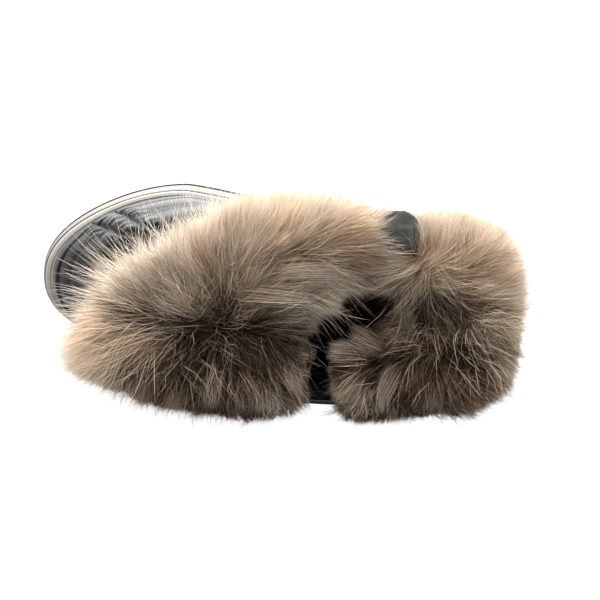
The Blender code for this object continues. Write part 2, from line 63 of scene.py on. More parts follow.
# The boot's form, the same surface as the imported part's, in metres
UPPER_LENGTH = 0.266
BALL_WIDTH = 0.092
HEEL_WIDTH = 0.058
WAIST_PINCH = 0.006
HEEL_BACK = 0.030
TOE_SWING = 0.005
BALL_SWING = 0.0022
SHAFT_DEPTH = 0.148
SHAFT_WIDTH = 0.087
SHAFT_LEAN = 0.0035
WALL = 0.003
ROUNDNESS = 2.2
# Heights above the feather edge of the levels 0 to 4
LEVELS = (0, 0.0120, 0.038, 0.080, 0.176)
GAP = 0.0003
RAND_THICKNESS = 0.0048
RAND_HEIGHT = 0.0106
PINSTRIPE_HEIGHT = 0.0014
PINSTRIPE_STEP = 0.0005
RAND_LEAN = 0.30
MIDSOLE_LEDGE = 0.0011
MIDSOLE_FLARE = 0.0023
OUTSOLE_EDGE = 0.0009
SOLE_FOOT = 0.0085
OUTSOLE_HEIGHT = 0.0085
MIDSOLE_FRONT = 0.013
MIDSOLE_HEEL = 0.020
TOE_SPRING = 0.012
ARCH = 0.003
HEEL_TIP = 0.0028

# Where along the boot each of these changes: start and length
MIDSOLE_RISES = (-0.120, 0.080)
TOE_SPRINGS = (-0.165, 0.071)
ARCHES = (-0.098, 0.058)
HEEL_TIPS = (0.023, 0.016)
RAND_LEANS = (-0.150, 0.080)

# front_level, back_level, shaft, reach, back, follow, ball, ball_at, heel, heel_at, swing,
# lean, crease: one row for each ring of the upper, from the feather edge to the collar
SECTIONS = np.array((
    (0.00, 0.00, 0.00, 1.000, 0.0000, 1.0, 1.000, 0.336, 1.000, 0.88, 1.0, 0.00, 0.0),
    (1.00, 1.00, 0.00, 1.000, 0.0094, 1.0, 1.054, 0.340, 1.090, 0.88, 1.0, 0.00, 0.4),
    (1.62, 1.55, 0.00, 0.977, 0.0150, 0.9, 1.030, 0.330, 1.130, 0.88, 1.0, 0.00, 1.0),
    (2.08, 2.08, 0.10, 0.970, 0.0132, 0.7, 0.940, 0.330, 1.090, 0.87, 0.9, 0.02, 1.0),
    (2.24, 2.46, 0.30, 0.971, 0.0056, 0.4, 0.862, 0.360, 0.990, 0.86, 0.7, 0.05, 0.9),
    (2.45, 2.81, 0.55, 0.982, -0.0038, 0.2, 0.862, 0.380, 0.885, 0.84, 0.4, 0.10, 0.6),
    (2.78, 3.08, 0.80, 0.998, -0.0132, 0.1, 0.880, 0.400, 0.812, 0.82, 0.2, 0.20, 0.3),
    (3.12, 3.27, 0.95, 0.993, -0.0207, 0.0, 0.902, 0.420, 0.786, 0.80, 0.1, 0.35, 0.1),
    (3.32, 3.45, 1.00, 0.970, -0.0244, 0.0, 0.930, 0.450, 0.807, 0.75, 0.0, 0.50, 0.0),
    (3.55, 3.63, 1.00, 0.955, -0.0244, 0.0, 0.966, 0.480, 0.864, 0.68, 0.0, 0.70, 0.0),
    (3.78, 3.82, 1.00, 0.970, -0.0207, 0.0, 0.989, 0.500, 0.932, 0.60, 0.0, 0.85, 0.0),
    (4.00, 4.00, 1.00, 1.000, -0.0150, 0.0, 1.000, 0.500, 1.000, 0.50, 0.0, 1.00, 0.0),
))
COLLAR = len(SECTIONS) - 1
CREASE_COLUMN = 12
HEM = 8
CAD_ROWS = (0, 0.5, 1, 1.5, 2, 2.5, 3, 3.5, 4, 4.5, 5, 5.5, 6, 6.5, 7, 8, 9, 10, 11)
CAD_SHARES = (0, 0.006, 0.022, 0.045, 0.07, 0.10, 0.127, 0.155, 0.19, 0.235, 0.29, 0.345,
              0.40, 0.465, 0.53, 0.585, 0.685, 0.785, 0.86, 0.92, 0.96, 0.985, 0.997, 1)
SEAMS = (0.10, 0.155)

# The fur cuff: outward, inward, rise, drop of each ring from the hem to the lip
FUR_RINGS = np.array((
    (0.34, 0.00, 0.00, 1.06),
    (0.80, 0.00, 0.00, 0.82),
    (1.00, 0.00, 0.00, 0.50),
    (0.97, 0.00, 0.00, 0.14),
    (0.66, 0.00, 0.52, 0.00),
    (0.14, 0.00, 1.00, 0.00),
    (0.00, 0.55, 0.82, 0.00),
    (0.00, 1.00, 0.30, 0.00),
))
FUR_FRONT = 0.055
FUR_BACK = 0.014
FUR_LATERAL = (0.012, 0.021)
FUR_MEDIAL = (0.007, 0.007)
FUR_SWING = 0.010
FUR_SKEW = 0.022
FUR_ROUNDNESS = (2.0, 2.8)
FUR_RISE = 0.027
MOUTH_FRONT = 0.036
MOUTH_BACK = 0.036
MOUTH_SIDE = 0.024
LATERAL_GAP = (0.585, 0.785)
MEDIAL_GAP = (0.345, 0.53)


def smooth(t):
    t = np.clip(t, 0, 1)
    return t * t * (3 - 2 * t)


def mix(a, b, t):
    return a + (b - a) * t


def columns(table, row):
    """Every column of a table at the row numbers given, on a smooth curve."""
    row = np.asarray(row, float)
    last = len(table) - 1
    lower = np.minimum(row.astype(int), last - 1)
    t = (row - lower)[..., None]
    p0, p1, p2, p3 = (table[np.clip(lower + k, 0, last)] for k in (-1, 0, 1, 2))
    bend = (2 * p0 - 5 * p1 + 4 * p2 - p3) * t + 3 * (p1 - p2) + p3 - p0
    return p1 + 0.5 * t * (p2 - p0 + t * bend)


def spring(x):
    start, length = TOE_SPRINGS
    return TOE_SPRING * np.maximum(0, (start - x) / length) ** 2


def tread_rise(x):
    across = np.clip((x - ARCHES[0]) / ARCHES[1], 0, 1)
    past = np.maximum(0, (x - HEEL_TIPS[0]) / HEEL_TIPS[1])
    return spring(x) + ARCH * np.sin(np.pi * across) ** 2 + HEEL_TIP * past ** 2


def outsole_top(x):
    return OUTSOLE_HEIGHT + spring(x)


def midsole_top(x):
    start, length = MIDSOLE_RISES
    return outsole_top(x) + GAP + mix(MIDSOLE_FRONT, MIDSOLE_HEEL, smooth((x - start) / length))


def feather(x):
    return midsole_top(x) + GAP


def ring_shape(share, ball, ball_at, heel, heel_at, pinch=0.0, power=ROUNDNESS):
    toe = np.clip(1 - share / ball_at, 0, 1)
    end = np.clip((share - heel_at) / (1 - heel_at), 0, 1)
    front = ball * (1 - toe ** power) ** (1 / power)
    back = heel * (1 - end ** power) ** (1 / power)
    between = np.clip((share - ball_at) / np.maximum(heel_at - ball_at, 1e-6), 0, 1)
    middle = mix(ball, heel, smooth(between)) - pinch * np.sin(np.pi * between)
    return np.where(share < ball_at, front, np.where(share > heel_at, back, middle))


def shell(row, share, side):
    """Points of the upper's outside, before the boot is centred."""
    row, share, side = np.broadcast_arrays(row, share, side)
    c = np.moveaxis(columns(SECTIONS, row), -1, 0)
    front_level, back_level, shaft, reach, back, follow, ball, ball_at = c[:8]
    heel, heel_at, swing, lean = c[8:12]
    length = mix(UPPER_LENGTH, SHAFT_DEPTH, shaft) * reach
    x = HEEL_BACK + back * UPPER_LENGTH - length * (1 - share)
    ball = mix(BALL_WIDTH, SHAFT_WIDTH, shaft) / 2 * ball
    heel = mix(HEEL_WIDTH, SHAFT_WIDTH, shaft) / 2 * heel
    half = ring_shape(share, ball, ball_at, heel, heel_at, WAIST_PINCH * swing)
    bow = np.where(share < ball_at,
                   mix(-TOE_SWING, BALL_SWING, smooth(share / ball_at)),
                   mix(BALL_SWING, 0, smooth((share - ball_at) / (1 - ball_at))))
    y = side * half + swing * bow - lean * SHAFT_LEAN
    seat = feather(HEEL_BACK)
    level = np.interp(mix(front_level, back_level, share), (0, 1, 2, 3, 4), LEVELS)
    return np.stack((x, y, seat + level + follow * (feather(x) - seat)), -1)


def share_at(turn):
    """Share of the way from toe to heel at a turn from 0 to 1, finely spaced at both ends."""
    even = (1 - np.cos(np.pi * turn)) / 2
    near = 0.5 * (2 * np.minimum(even, 1 - even)) ** 1.1
    return np.where(even < 0.5, near, 1 - near)


def turn_at(share):
    turns = np.linspace(0, 1, 4001)
    return np.interp(share, share_at(turns), turns)


def place(turn):
    """Share and side at a turn: 0 at the toe, 1 at the heel, lateral before and medial after."""
    turn = np.mod(turn, 2)
    return share_at(np.where(turn > 1, 2 - turn, turn)), np.where(turn > 1, -1.0, 1.0)


def unit(v):
    return v / np.maximum(np.linalg.norm(v, axis=-1, keepdims=True), 1e-12)


def find_shift():
    """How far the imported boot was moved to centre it, read from its own upper."""
    rows, shares = np.meshgrid(CAD_ROWS, CAD_SHARES)
    _low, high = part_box("upper")
    x = shell(np.array(CAD_ROWS), 1.0, 1.0)[:, 0].max()
    y = shell(rows, shares, 1.0)[..., 1].max()
    return np.array((high.x - x, high.y - y, 0))


SHIFT = find_shift()


def material(name, colour, roughness, **more):
    made = bpy.data.materials.new(name)
    made.use_nodes = True
    shader = made.node_tree.nodes["Principled BSDF"]
    shader.inputs["Base Color"].default_value = (*colour, 1)
    shader.inputs["Roughness"].default_value = roughness
    for key, value in more.items():
        shader.inputs[key.replace("_", " ")].default_value = value
    return made


class Graph:
    """Short calls to add and link nodes of one material."""

    def __init__(self, look):
        self.tree = look.node_tree
        self.shader = self.tree.nodes["Principled BSDF"]

    def add(self, kind, **settings):
        node = self.tree.nodes.new(kind)
        for key, value in settings.items():
            if key in node.inputs:
                node.inputs[key].default_value = value
            else:
                setattr(node, key, value)
        return node

    def link(self, start, end):
        self.tree.links.new(start, end)

    def math(self, operation, a, b=0.0, c=None):
        node = self.add("ShaderNodeMath", operation=operation)
        for socket, value in zip(node.inputs, (a, b) if c is None else (a, b, c)):
            if isinstance(value, (int, float)):
                socket.default_value = value
            else:
                self.link(value, socket)
        return node.outputs[0]

    def blend(self, factor, a, b, mode="MIX"):
        node = self.add("ShaderNodeMix", data_type="RGBA", blend_type=mode)
        for socket, value in ((node.inputs[0], factor), (node.inputs[6], a), (node.inputs[7], b)):
            if isinstance(value, tuple):
                socket.default_value = (*value, 1)
            elif isinstance(value, (int, float)):
                socket.default_value = value
            else:
                self.link(value, socket)
        return node.outputs[2]

    def noise(self, scale, detail, roughness=0.5):
        where = self.add("ShaderNodeTexCoord")
        node = self.add("ShaderNodeTexNoise", Scale=scale, Detail=detail, Roughness=roughness)
        self.link(where.outputs["Object"], node.inputs["Vector"])
        return node.outputs[0]

    def bump(self, height, distance, strength=1.0, below=None):
        node = self.add("ShaderNodeBump", Distance=distance, Strength=strength)
        self.link(height, node.inputs["Height"])
        if below:
            self.link(below, node.inputs["Normal"])
        self.link(node.outputs[0], self.shader.inputs["Normal"])
        return node.outputs[0]


def srgb(*values):
    """Linear colour of sRGB values from 0 to 255."""
    return tuple((v / 255 / 12.92) if v <= 10 else ((v / 255 + 0.055) / 1.055) ** 2.4
                 for v in values)


def show(name, mesh, look):
    """A smoothly shaded object of a mesh, on the part's body."""
    mesh.shade_smooth()
    mesh.materials.append(look)
    made = bpy.data.objects.new(name, mesh)
    bpy.context.scene.collection.objects.link(made)
    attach(made, "root")
    return made


def mesh_object(name, points, faces, look):
    """An object of points given before the boot is centred."""
    mesh = bpy.data.meshes.new(name)
    mesh.from_pydata((np.asarray(points) + SHIFT).reshape(-1, 3).tolist(), [], faces)
    mesh.update()
    return show(name, mesh, look)


def grid_faces(rows, size, closed_rows=False, closed_columns=True):
    faces = []
    for j in range(rows if closed_rows else rows - 1):
        low, high = j * size, (j + 1) % rows * size
        for i in range(size if closed_columns else size - 1):
            after = (i + 1) % size
            faces.append((low + i, low + after, high + after, high + i))
    return faces


def plan_normals(ring):
    along = np.roll(ring, -1, axis=0) - np.roll(ring, 1, axis=0)
    return unit(np.stack((-along[:, 1], along[:, 0], np.zeros(len(ring))), -1))


def outline(count):
    """Points of the feather edge all the way round, and their outward directions."""
    share, side = place(np.arange(count) / count * 2)
    ring = shell(0.0, share, side)
    return ring, plan_normals(ring)


# Materials

TONE_STEPS = 16


def surface(name, colour, roughness, tones, grain, **more):
    """A mottled look; tones are (noise, dark, pale) or None, grain is (noise, depth)."""
    look = material(name, srgb(*colour), roughness, **more)
    g = Graph(look)
    if tones:
        pattern, dark, pale = tones
        g.link(g.blend(g.noise(*pattern), srgb(*dark), srgb(*pale)),
               g.shader.inputs["Base Color"])
    pattern, depth = grain
    g.bump(g.noise(*pattern), depth)
    return look


def make_leather():
    look = material("black_leather", srgb(14, 15, 17), 0.50, Specular_IOR_Level=0.30,
                    Coat_Weight=0.22, Coat_Roughness=0.25)
    g = Graph(look)
    g.link(g.blend(g.noise(35, 4, 0.6), srgb(8, 9, 10), srgb(15, 16, 18)),
           g.shader.inputs["Base Color"])
    rough = g.math("MULTIPLY_ADD", g.noise(120, 4, 0.6), 0.10, 0.34)
    g.link(rough, g.shader.inputs["Roughness"])
    where = g.add("ShaderNodeTexCoord")
    cells = g.add("ShaderNodeTexVoronoi", Scale=1250.0, feature="DISTANCE_TO_EDGE")
    g.link(where.outputs["Object"], cells.inputs["Vector"])
    pores = g.math("MINIMUM", cells.outputs["Distance"], 0.18)
    first = g.bump(pores, 0.00022)
    g.bump(g.noise(300, 5, 0.6), 0.00035, 0.8, below=first)
    return look


def make_fur_look():
    """Hair colour from a map: across is lightness in steps and warmth, along is the hair."""
    look = material("fur_hair", srgb(150, 125, 100), 0.70, Specular_IOR_Level=0.10)
    g = Graph(look)
    where = g.add("ShaderNodeUVMap", uv_map="HairMap")
    split = g.add("ShaderNodeSeparateXYZ")
    g.link(where.outputs[0], split.inputs[0])
    steps = g.math("MULTIPLY", split.outputs[0], TONE_STEPS)
    light = g.math("DIVIDE", g.math("FLOOR", steps), TONE_STEPS - 1)
    warmth = g.math("FRACT", steps)

    def ramp(stops):
        node = g.add("ShaderNodeValToRGB")
        g.link(split.outputs[1], node.inputs[0])
        elements = node.color_ramp.elements
        while len(elements) < len(stops):
            elements.new(0.5)
        for element, (at, colour) in zip(elements, stops):
            element.position = at
            element.color = (*srgb(*colour), 1)
        return node.outputs[0]

    dark = ramp(((0.0, (12, 7, 4)), (0.35, (26, 17, 11)), (0.72, (46, 31, 21)),
                 (1.0, (78, 58, 43))))
    pale = ramp(((0.0, (128, 106, 87)), (0.35, (222, 205, 183)), (0.72, (251, 241, 226)),
                 (1.0, (253, 247, 237))))
    base = g.blend(g.math("POWER", light, 2.0), dark, pale)
    ginger = g.blend(1.0, base, (1.06, 0.84, 0.65), "MULTIPLY")
    cool = g.blend(1.0, base, (0.98, 0.97, 0.95), "MULTIPLY")
    g.link(g.blend(warmth, cool, ginger), g.shader.inputs["Base Color"])
    return look


CREAM = surface("cream_rubber", (160, 156, 147), 0.55,
                ((60, 4), (152, 147, 138), (166, 163, 155)), ((1400, 2), 0.00006))
RUBBER = surface("black_rubber", (34, 36, 38), 0.62,
                 ((90, 4), (26, 28, 30), (44, 46, 48)), ((900, 3), 0.00010))
LEATHER = make_leather()
LINING = surface("black_lining", (14, 14, 15), 0.95, None, ((700, 4, 0.7), 0.0006))
FELT = surface("charcoal_felt", (56, 58, 57), 0.95,
               ((500, 5, 0.7), (42, 45, 45), (96, 100, 99)), ((1100, 4, 0.7), 0.0004),
               Sheen_Weight=0.15, Sheen_Roughness=0.5)
FUR = make_fur_look()
UNDERFUR = material("fur_ground", srgb(30, 22, 17), 0.95)
THREAD = material("black_thread", srgb(40, 41, 43), 0.55)


# Sole


BAND_POINTS = 420
RAND_INSIDE = -0.0010
RAND_ROUNDING = 0.0009
MIDSOLE_INSIDE = -0.020
EDGE_FOOT = 0.004

# Edge of the midsole: height as a share of its own, distance out as a share of the flare
FLARE = ((0.0, 1.0), (0.10, 1.0), (0.30, 0.84), (0.50, 0.66), (0.70, 0.44), (0.84, 0.26),
         (0.92, 0.12), (0.97, -0.10), (1.0, -0.45))


def band(name, profile, look):
    """A strip round the sole; profile holds (distance out, level function, added height)."""
    ring, out = outline(BAND_POINTS)
    start, length = RAND_LEANS
    rings = []
    for distance, level, rise in profile:
        points = ring + out * distance
        points[:, 2] = level(points[:, 0]) + rise
        points[:, 0] += RAND_LEAN * rise * smooth((start - points[:, 0]) / length)
        rings.append(points)
    faces = grid_faces(len(rings), BAND_POINTS, closed_rows=True)
    return mesh_object(name, rings, faces, look)


def rounded(corners, radius, steps=4):
    """The profile with each corner replaced by a small curve; corners are (distance, height)."""
    made = []
    count = len(corners)
    for i, corner in enumerate(corners):
        here = np.array(corner)
        before = np.array(corners[i - 1]) - here
        after = np.array(corners[(i + 1) % count]) - here
        cut = min(radius, 0.45 * np.linalg.norm(before), 0.45 * np.linalg.norm(after))
        start = here + before / np.linalg.norm(before) * cut
        end = here + after / np.linalg.norm(after) * cut
        for k in range(steps + 1):
            t = k / steps
            made.append(tuple((1 - t) ** 2 * start + 2 * t * (1 - t) * here + t * t * end))
    return made


def make_sole():
    face = GAP + RAND_THICKNESS
    seat = PINSTRIPE_HEIGHT + GAP
    top = seat + RAND_HEIGHT
    corners = [(RAND_INSIDE, seat), (face, seat), (face + 0.0002, seat + 0.50 * RAND_HEIGHT),
               (face - 0.0004, seat + 0.90 * RAND_HEIGHT), (face - 0.0022, top),
               (face - 0.0026, top), (face - 0.0028, top - 0.0009), (face - 0.0032, top),
               (RAND_INSIDE, top)]
    profile = [(d, feather, z) for d, z in rounded(corners, RAND_ROUNDING)]
    rand = band("rand_smooth", profile, CREAM)
    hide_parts("rand")

    line = face + PINSTRIPE_STEP
    profile = [(0.0, feather, 0.0), (line, feather, 0.0), (line, feather, seat),
               (0.0, feather, seat)]
    stripe = band("pinstripe_smooth", profile, RUBBER)
    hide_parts("pinstripe")

    def between(share):
        return lambda x: mix(outsole_top(x) + GAP, midsole_top(x), share)

    profile = [(MIDSOLE_INSIDE, between(0.0), 0.0)]
    profile += [(face + MIDSOLE_LEDGE + MIDSOLE_FLARE * f, between(h), 0.0) for h, f in FLARE]
    profile += [(MIDSOLE_INSIDE, between(1.0), 0.0)]
    mid = band("midsole_smooth", profile, CREAM)
    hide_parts("midsole")

    edge = SOLE_FOOT + OUTSOLE_EDGE

    def foot(x):
        return EDGE_FOOT + tread_rise(x)

    profile = [(edge - 0.004, foot, 0.0002), (edge - 0.0006, foot, 0.0002),
               (edge + 0.0001, foot, 0.0012), (edge + 0.0001, outsole_top, -0.0008),
               (edge - 0.0006, outsole_top, 0.0001), (edge - 0.004, outsole_top, 0.0001)]
    band("outsole_edge", profile, RUBBER)
    for node, look in (("outsole", RUBBER), ("insole", LINING)):
        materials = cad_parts[node].data.materials
        materials.clear()
        materials.append(look)


# Upper


WAVES = 10

# Seams: the trough, the puff beside it, the thread, the gathers and the longer pleats
TROUGH_DEPTH = 0.0014
TROUGH_WIDTH = 0.0017
PUFF_HEIGHT = 0.0009
PUFF_AWAY = 0.0058
PUFF_WIDTH = 0.0048
STITCH_PITCH = 0.0024
STITCH_DEPTH = 0.0017
STITCH_REACH = 0.0017
STITCH_RADIUS = 0.00030
STITCH_SIDES = 6
STITCH_STATIONS = (-1, -0.6, 0, 0.6, 1)
GATHER_HEIGHT = 0.00027
GATHER_WIDTH = 0.0040
PLEAT_HEIGHT = 0.00022
PLEAT_PITCH = 0.0062
PLEAT_WIDTH = 0.006

# Creases and the puff beside them, and the rolled lip
FOLD_WIDTH = 0.0022
FOLD_PUFF_AWAY = 0.0058
FOLD_PUFF_WIDTH = 0.0035
LIP_ROUNDING = 0.0013
LIP_HEIGHT = 0.0011


def surface_normals(points):
    """Outward directions of a grid of points, rows along the upper and columns round it."""
    along = np.roll(points, -1, axis=1) - np.roll(points, 1, axis=1)
    up = np.gradient(points, axis=0)
    return unit(np.cross(up, along))


def hump(gap, middle, width):
    """1 where the gap is the middle one, falling smoothly to both sides."""
    return np.exp(-((gap - middle) / width) ** 2)


def wave_field(points, seed, scale):
    """A smooth pattern about 0, mostly between -1 and 1, the same each time."""
    rng = np.random.default_rng(seed)
    total = np.zeros(points.shape[:-1])
    for _ in range(WAVES):
        direction = unit(rng.normal(size=3)) * scale * rng.uniform(0.6, 1.6)
        total += np.sin(points @ direction + rng.uniform(0, 6.28))
    return total / math.sqrt(WAVES)


# Creases of the leather: row, turn, length in metres, lean, depth in metres
CREASES = (
    (4.9, 0.46, 0.060, 0.10, 0.0011), (5.5, 0.50, 0.070, 0.05, 0.0013),
    (6.1, 0.47, 0.060, -0.05, 0.0011), (6.7, 0.52, 0.055, 0.08, 0.0009),
    (4.8, 1.55, 0.060, -0.10, 0.0011), (5.4, 1.50, 0.070, -0.04, 0.0013),
    (6.1, 1.54, 0.060, 0.06, 0.0011), (6.8, 1.49, 0.050, -0.06, 0.0009),
    (5.2, 0.86, 0.050, 0.05, 0.0008), (5.9, 0.90, 0.055, -0.05, 0.0009),
    (5.3, 1.13, 0.050, -0.05, 0.0008), (6.0, 1.10, 0.055, 0.04, 0.0009),
    (4.4, 0.02, 0.040, 0.02, 0.0006), (5.1, 1.98, 0.045, 0.03, 0.0007),
)


def upper_grid():
    """Rows and turns of the leather, closer together at the seams."""
    seam_turns = [float(turn_at(s)) for s in SEAMS]
    base = np.linspace(0, 1, 121)
    fine = [np.linspace(t - 0.028, t + 0.028, 19) for t in seam_turns]
    half = np.unique(np.round(np.concatenate([base, *fine]), 5))
    turns = np.concatenate([half, 2 - half[-2:0:-1]])
    step = 0.032
    rows = np.unique(np.round(np.concatenate([
        np.linspace(0, 0.8, 6), np.arange(0.8, 5.6, step), np.arange(5.6, 11, 0.11), [11]]), 4))
    return rows, turns


def make_upper():
    """The leather with its seams, creases and rolled lip, and the lining inside."""
    rows, turns = upper_grid()
    share, side = place(turns)
    points = shell(rows[:, None], share[None], side[None])
    normals = surface_normals(points)
    crease = columns(SECTIONS, rows)[:, CREASE_COLUMN, None]
    lengths = np.linalg.norm(np.diff(points, axis=0), axis=-1)
    climb = np.concatenate([np.zeros((1, len(turns))), np.cumsum(lengths, axis=0)])
    fold = wave_field(points, 5, 420)
    height = np.zeros(points.shape[:2])
    for number, seam in enumerate(SEAMS):
        for turn in (float(turn_at(seam)), 2 - float(turn_at(seam))):
            on_seam = shell(rows, float(share_at(np.array(min(turn, 2 - turn)))),
                            1.0 if turn < 1 else -1.0)
            near = np.linalg.norm(points - on_seam[:, None], axis=-1)
            near = np.where(np.abs(turns - turn)[None] < 0.2, near, 1.0)
            ends = crease * smooth((rows[:, None] - 0.9) / 0.25)
            height -= TROUGH_DEPTH * ends * hump(near, 0, TROUGH_WIDTH)
            height += PUFF_HEIGHT * ends * hump(near, PUFF_AWAY, PUFF_WIDTH)
            middle = climb[:, np.argmin(np.abs(turns - turn))][:, None]
            gather = np.sin(middle / STITCH_PITCH * 2 * np.pi + 0.8 * fold)
            height += GATHER_HEIGHT * ends * gather * hump(near, 0, GATHER_WIDTH)
            pleat = np.sin(middle / PLEAT_PITCH * 2 * np.pi + 2.2 * fold + number)
            height += PLEAT_HEIGHT * ends * pleat * hump(near, PLEAT_WIDTH, PLEAT_WIDTH)
    for row, turn, length, lean, depth in CREASES:
        here_share, here_side = place(np.array(turn))
        middle = shell(row, here_share, here_side)
        away = points - middle
        across = away[..., 2] - lean * away[..., 0]
        across = across + 0.0016 * np.sin(away[..., 0] / 0.011 + row * 7)
        along = np.hypot(away[..., 0], away[..., 1])
        fade = np.exp(-(along / (length / 2)) ** 4) * (np.linalg.norm(away, axis=-1) < 0.06)
        height -= depth * fade * hump(across, 0, FOLD_WIDTH)
        height += 0.7 * depth * fade * hump(np.abs(across), FOLD_PUFF_AWAY, FOLD_PUFF_WIDTH)
    soft = smooth((rows[:, None] - 1.2) / 1.0)
    height += 0.00030 * soft * wave_field(points, 11, 150) * (rows[:, None] < 10.6)
    outside = points + normals * height[..., None]
    lip = [outside]
    for turned in np.linspace(0, 1, 6)[1:]:
        angle = math.pi * turned
        ring = outside[-1] - normals[-1] * LIP_ROUNDING * (1 - math.cos(angle))
        ring[:, 2] += LIP_HEIGHT * math.sin(angle)
        lip.append(ring[None])
    inner = lip[-1][0].copy()
    inner[:, 2] -= 0.012
    lip.append(inner[None])
    stack = np.concatenate(lip)
    made = mesh_object("upper_leather", stack, grid_faces(len(stack), len(turns)), LEATHER)
    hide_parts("upper")

    rows = np.linspace(0.1, 11, 60)
    share, side = place(np.linspace(0, 2, 160, endpoint=False))
    points = shell(rows[:, None], share[None], side[None])
    points = points - surface_normals(points) * (WALL - 0.0002)
    points += 0.0006 * wave_field(points, 3, 300)[..., None] * np.array((1, 1, 0))
    points[-1, :, 2] -= 0.0004
    mesh_object("shaft_lining", points, grid_faces(60, 160), LINING)


def make_stitches():
    """Short thread stitches that gather the leather across each seam."""
    points, faces = [], []
    tube = grid_faces(len(STITCH_STATIONS), STITCH_SIDES)
    for seam in SEAMS:
        turn = float(turn_at(seam))
        for turned in (turn, 2 - turn):
            share, side = place(np.array(turned))
            rows = np.linspace(1.15, 5.3, 600)
            path = shell(rows, float(share), float(side))
            lengths = np.concatenate([[0], np.cumsum(np.linalg.norm(np.diff(path, axis=0),
                                                                    axis=-1))])
            beside, _ = place(np.array(turned + 0.004))
            step = shell(rows, float(beside), float(side)) - path
            for at in np.arange(0.001, lengths[-1], STITCH_PITCH):
                row = np.interp(at, lengths, rows)
                k = np.searchsorted(lengths, at)
                k = min(max(k, 1), len(rows) - 2)
                up = unit(path[k + 1] - path[k - 1])
                across = unit(step[k])
                out = unit(np.cross(across, up))
                if out[2] < 0:
                    out = -out
                strength = float(columns(SECTIONS, row)[CREASE_COLUMN])
                middle = path[k] - out * (STITCH_DEPTH * strength - 0.0009)
                lean = unit(across + 0.25 * up)
                start = len(points)
                for s in STITCH_STATIONS:
                    ring_at = middle + lean * STITCH_REACH * s - out * 0.0007 * s * s
                    radius = STITCH_RADIUS * (1 - 0.5 * abs(s) ** 3)
                    for a in range(STITCH_SIDES):
                        angle = a / STITCH_SIDES * 2 * math.pi
                        points.append(ring_at + (up * math.cos(angle)
                                                 + out * math.sin(angle)) * radius)
                faces += [tuple(start + corner for corner in face) for face in tube]
    mesh_object("seam_stitches", points, faces, THREAD)


# Pull tab


TAB_GAP = 0.0019
TAB_HALF_THICKNESS = 0.0017
TAB_HALF_WIDTH = 0.0095
TAB_RISE = 0.013
TAB_REACH = 0.012
TAB_CORNER = 0.006
TAB_SIDES = 28


def make_tab():
    """Two felt layers sewn together, bent out over the collar."""
    share = sum(LATERAL_GAP) / 2
    collar = shell(COLLAR, share, 1.0)
    near = shell(COLLAR, np.array((share - 0.01, share + 0.01)), 1.0)
    wall_way = unit(near[1] - near[0])
    wall_out = np.array((-wall_way[1], wall_way[0], 0))
    lining = -WALL - TAB_GAP - TAB_HALF_THICKNESS
    path = [((shell(row, share, 1.0) - collar) @ wall_out + lining,
             shell(row, share, 1.0)[2]) for row in (COLLAR - 1, COLLAR - 0.5, COLLAR)]
    bend, far = collar[2] + TAB_RISE, TAB_REACH - TAB_CORNER
    path += [(lining, collar[2] + 0.45 * TAB_RISE),
             (lining + 0.0010, collar[2] + 0.72 * TAB_RISE),
             (lining + 0.0040, collar[2] + 0.93 * TAB_RISE), (lining + 0.0085, bend),
             (mix(lining + 0.0085, far, 0.5), bend + 0.0004), (far, bend - 0.0006),
             (far + 0.7 * TAB_CORNER, bend - 0.0014), (TAB_REACH, bend - 0.0020)]
    path = np.array(path)
    where = np.linspace(0, len(path) - 1, 64)
    line = columns(path, where)
    round_off = np.clip((line[:, 0] - far) / TAB_CORNER, 0, 1) * (where > 7)
    half = TAB_HALF_WIDTH - 0.0062 * (1 - np.sqrt(np.clip(1 - round_off ** 2, 0, 1)))
    points = []
    for i, (out_by, z) in enumerate(line):
        turn = float(smooth((where[i] - 4) / 4))
        across = unit(mix(wall_way, np.array((1.0, 0, 0)), turn))
        out = np.array((-across[1], across[0], 0))
        a, b = line[max(i - 1, 0)], line[min(i + 1, len(line) - 1)]
        slope = unit(b - a)
        thick = out * -slope[1] + np.array((0, 0, slope[0]))
        middle = np.array((collar[0], collar[1], z)) + out * out_by
        for k in range(TAB_SIDES):
            angle = (k + 0.5) / TAB_SIDES * 2 * math.pi
            c, s = math.cos(angle), math.sin(angle)
            wide = math.copysign(abs(c) ** 0.28, c)
            high = math.copysign(abs(s) ** 0.45, s)
            pinch = 1 - 0.10 * math.exp(-((1 - abs(wide)) * half[i] / 0.0006 - 3.2) ** 2)
            points.append(middle + across * wide * half[i]
                          + thick * high * TAB_HALF_THICKNESS * pinch)
    faces = grid_faces(len(line), TAB_SIDES)
    end = len(points) - TAB_SIDES
    faces += [tuple(range(TAB_SIDES)), tuple(range(end, end + TAB_SIDES))]
    made = mesh_object("pull_tab_felt", points, faces, FELT)
    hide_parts("pull_tab")


# Fur

# The tables below hold whole millimetres, degrees and hundredths. Places are seen from
# above, and a heading is 0 along +X and 90 along +Y.

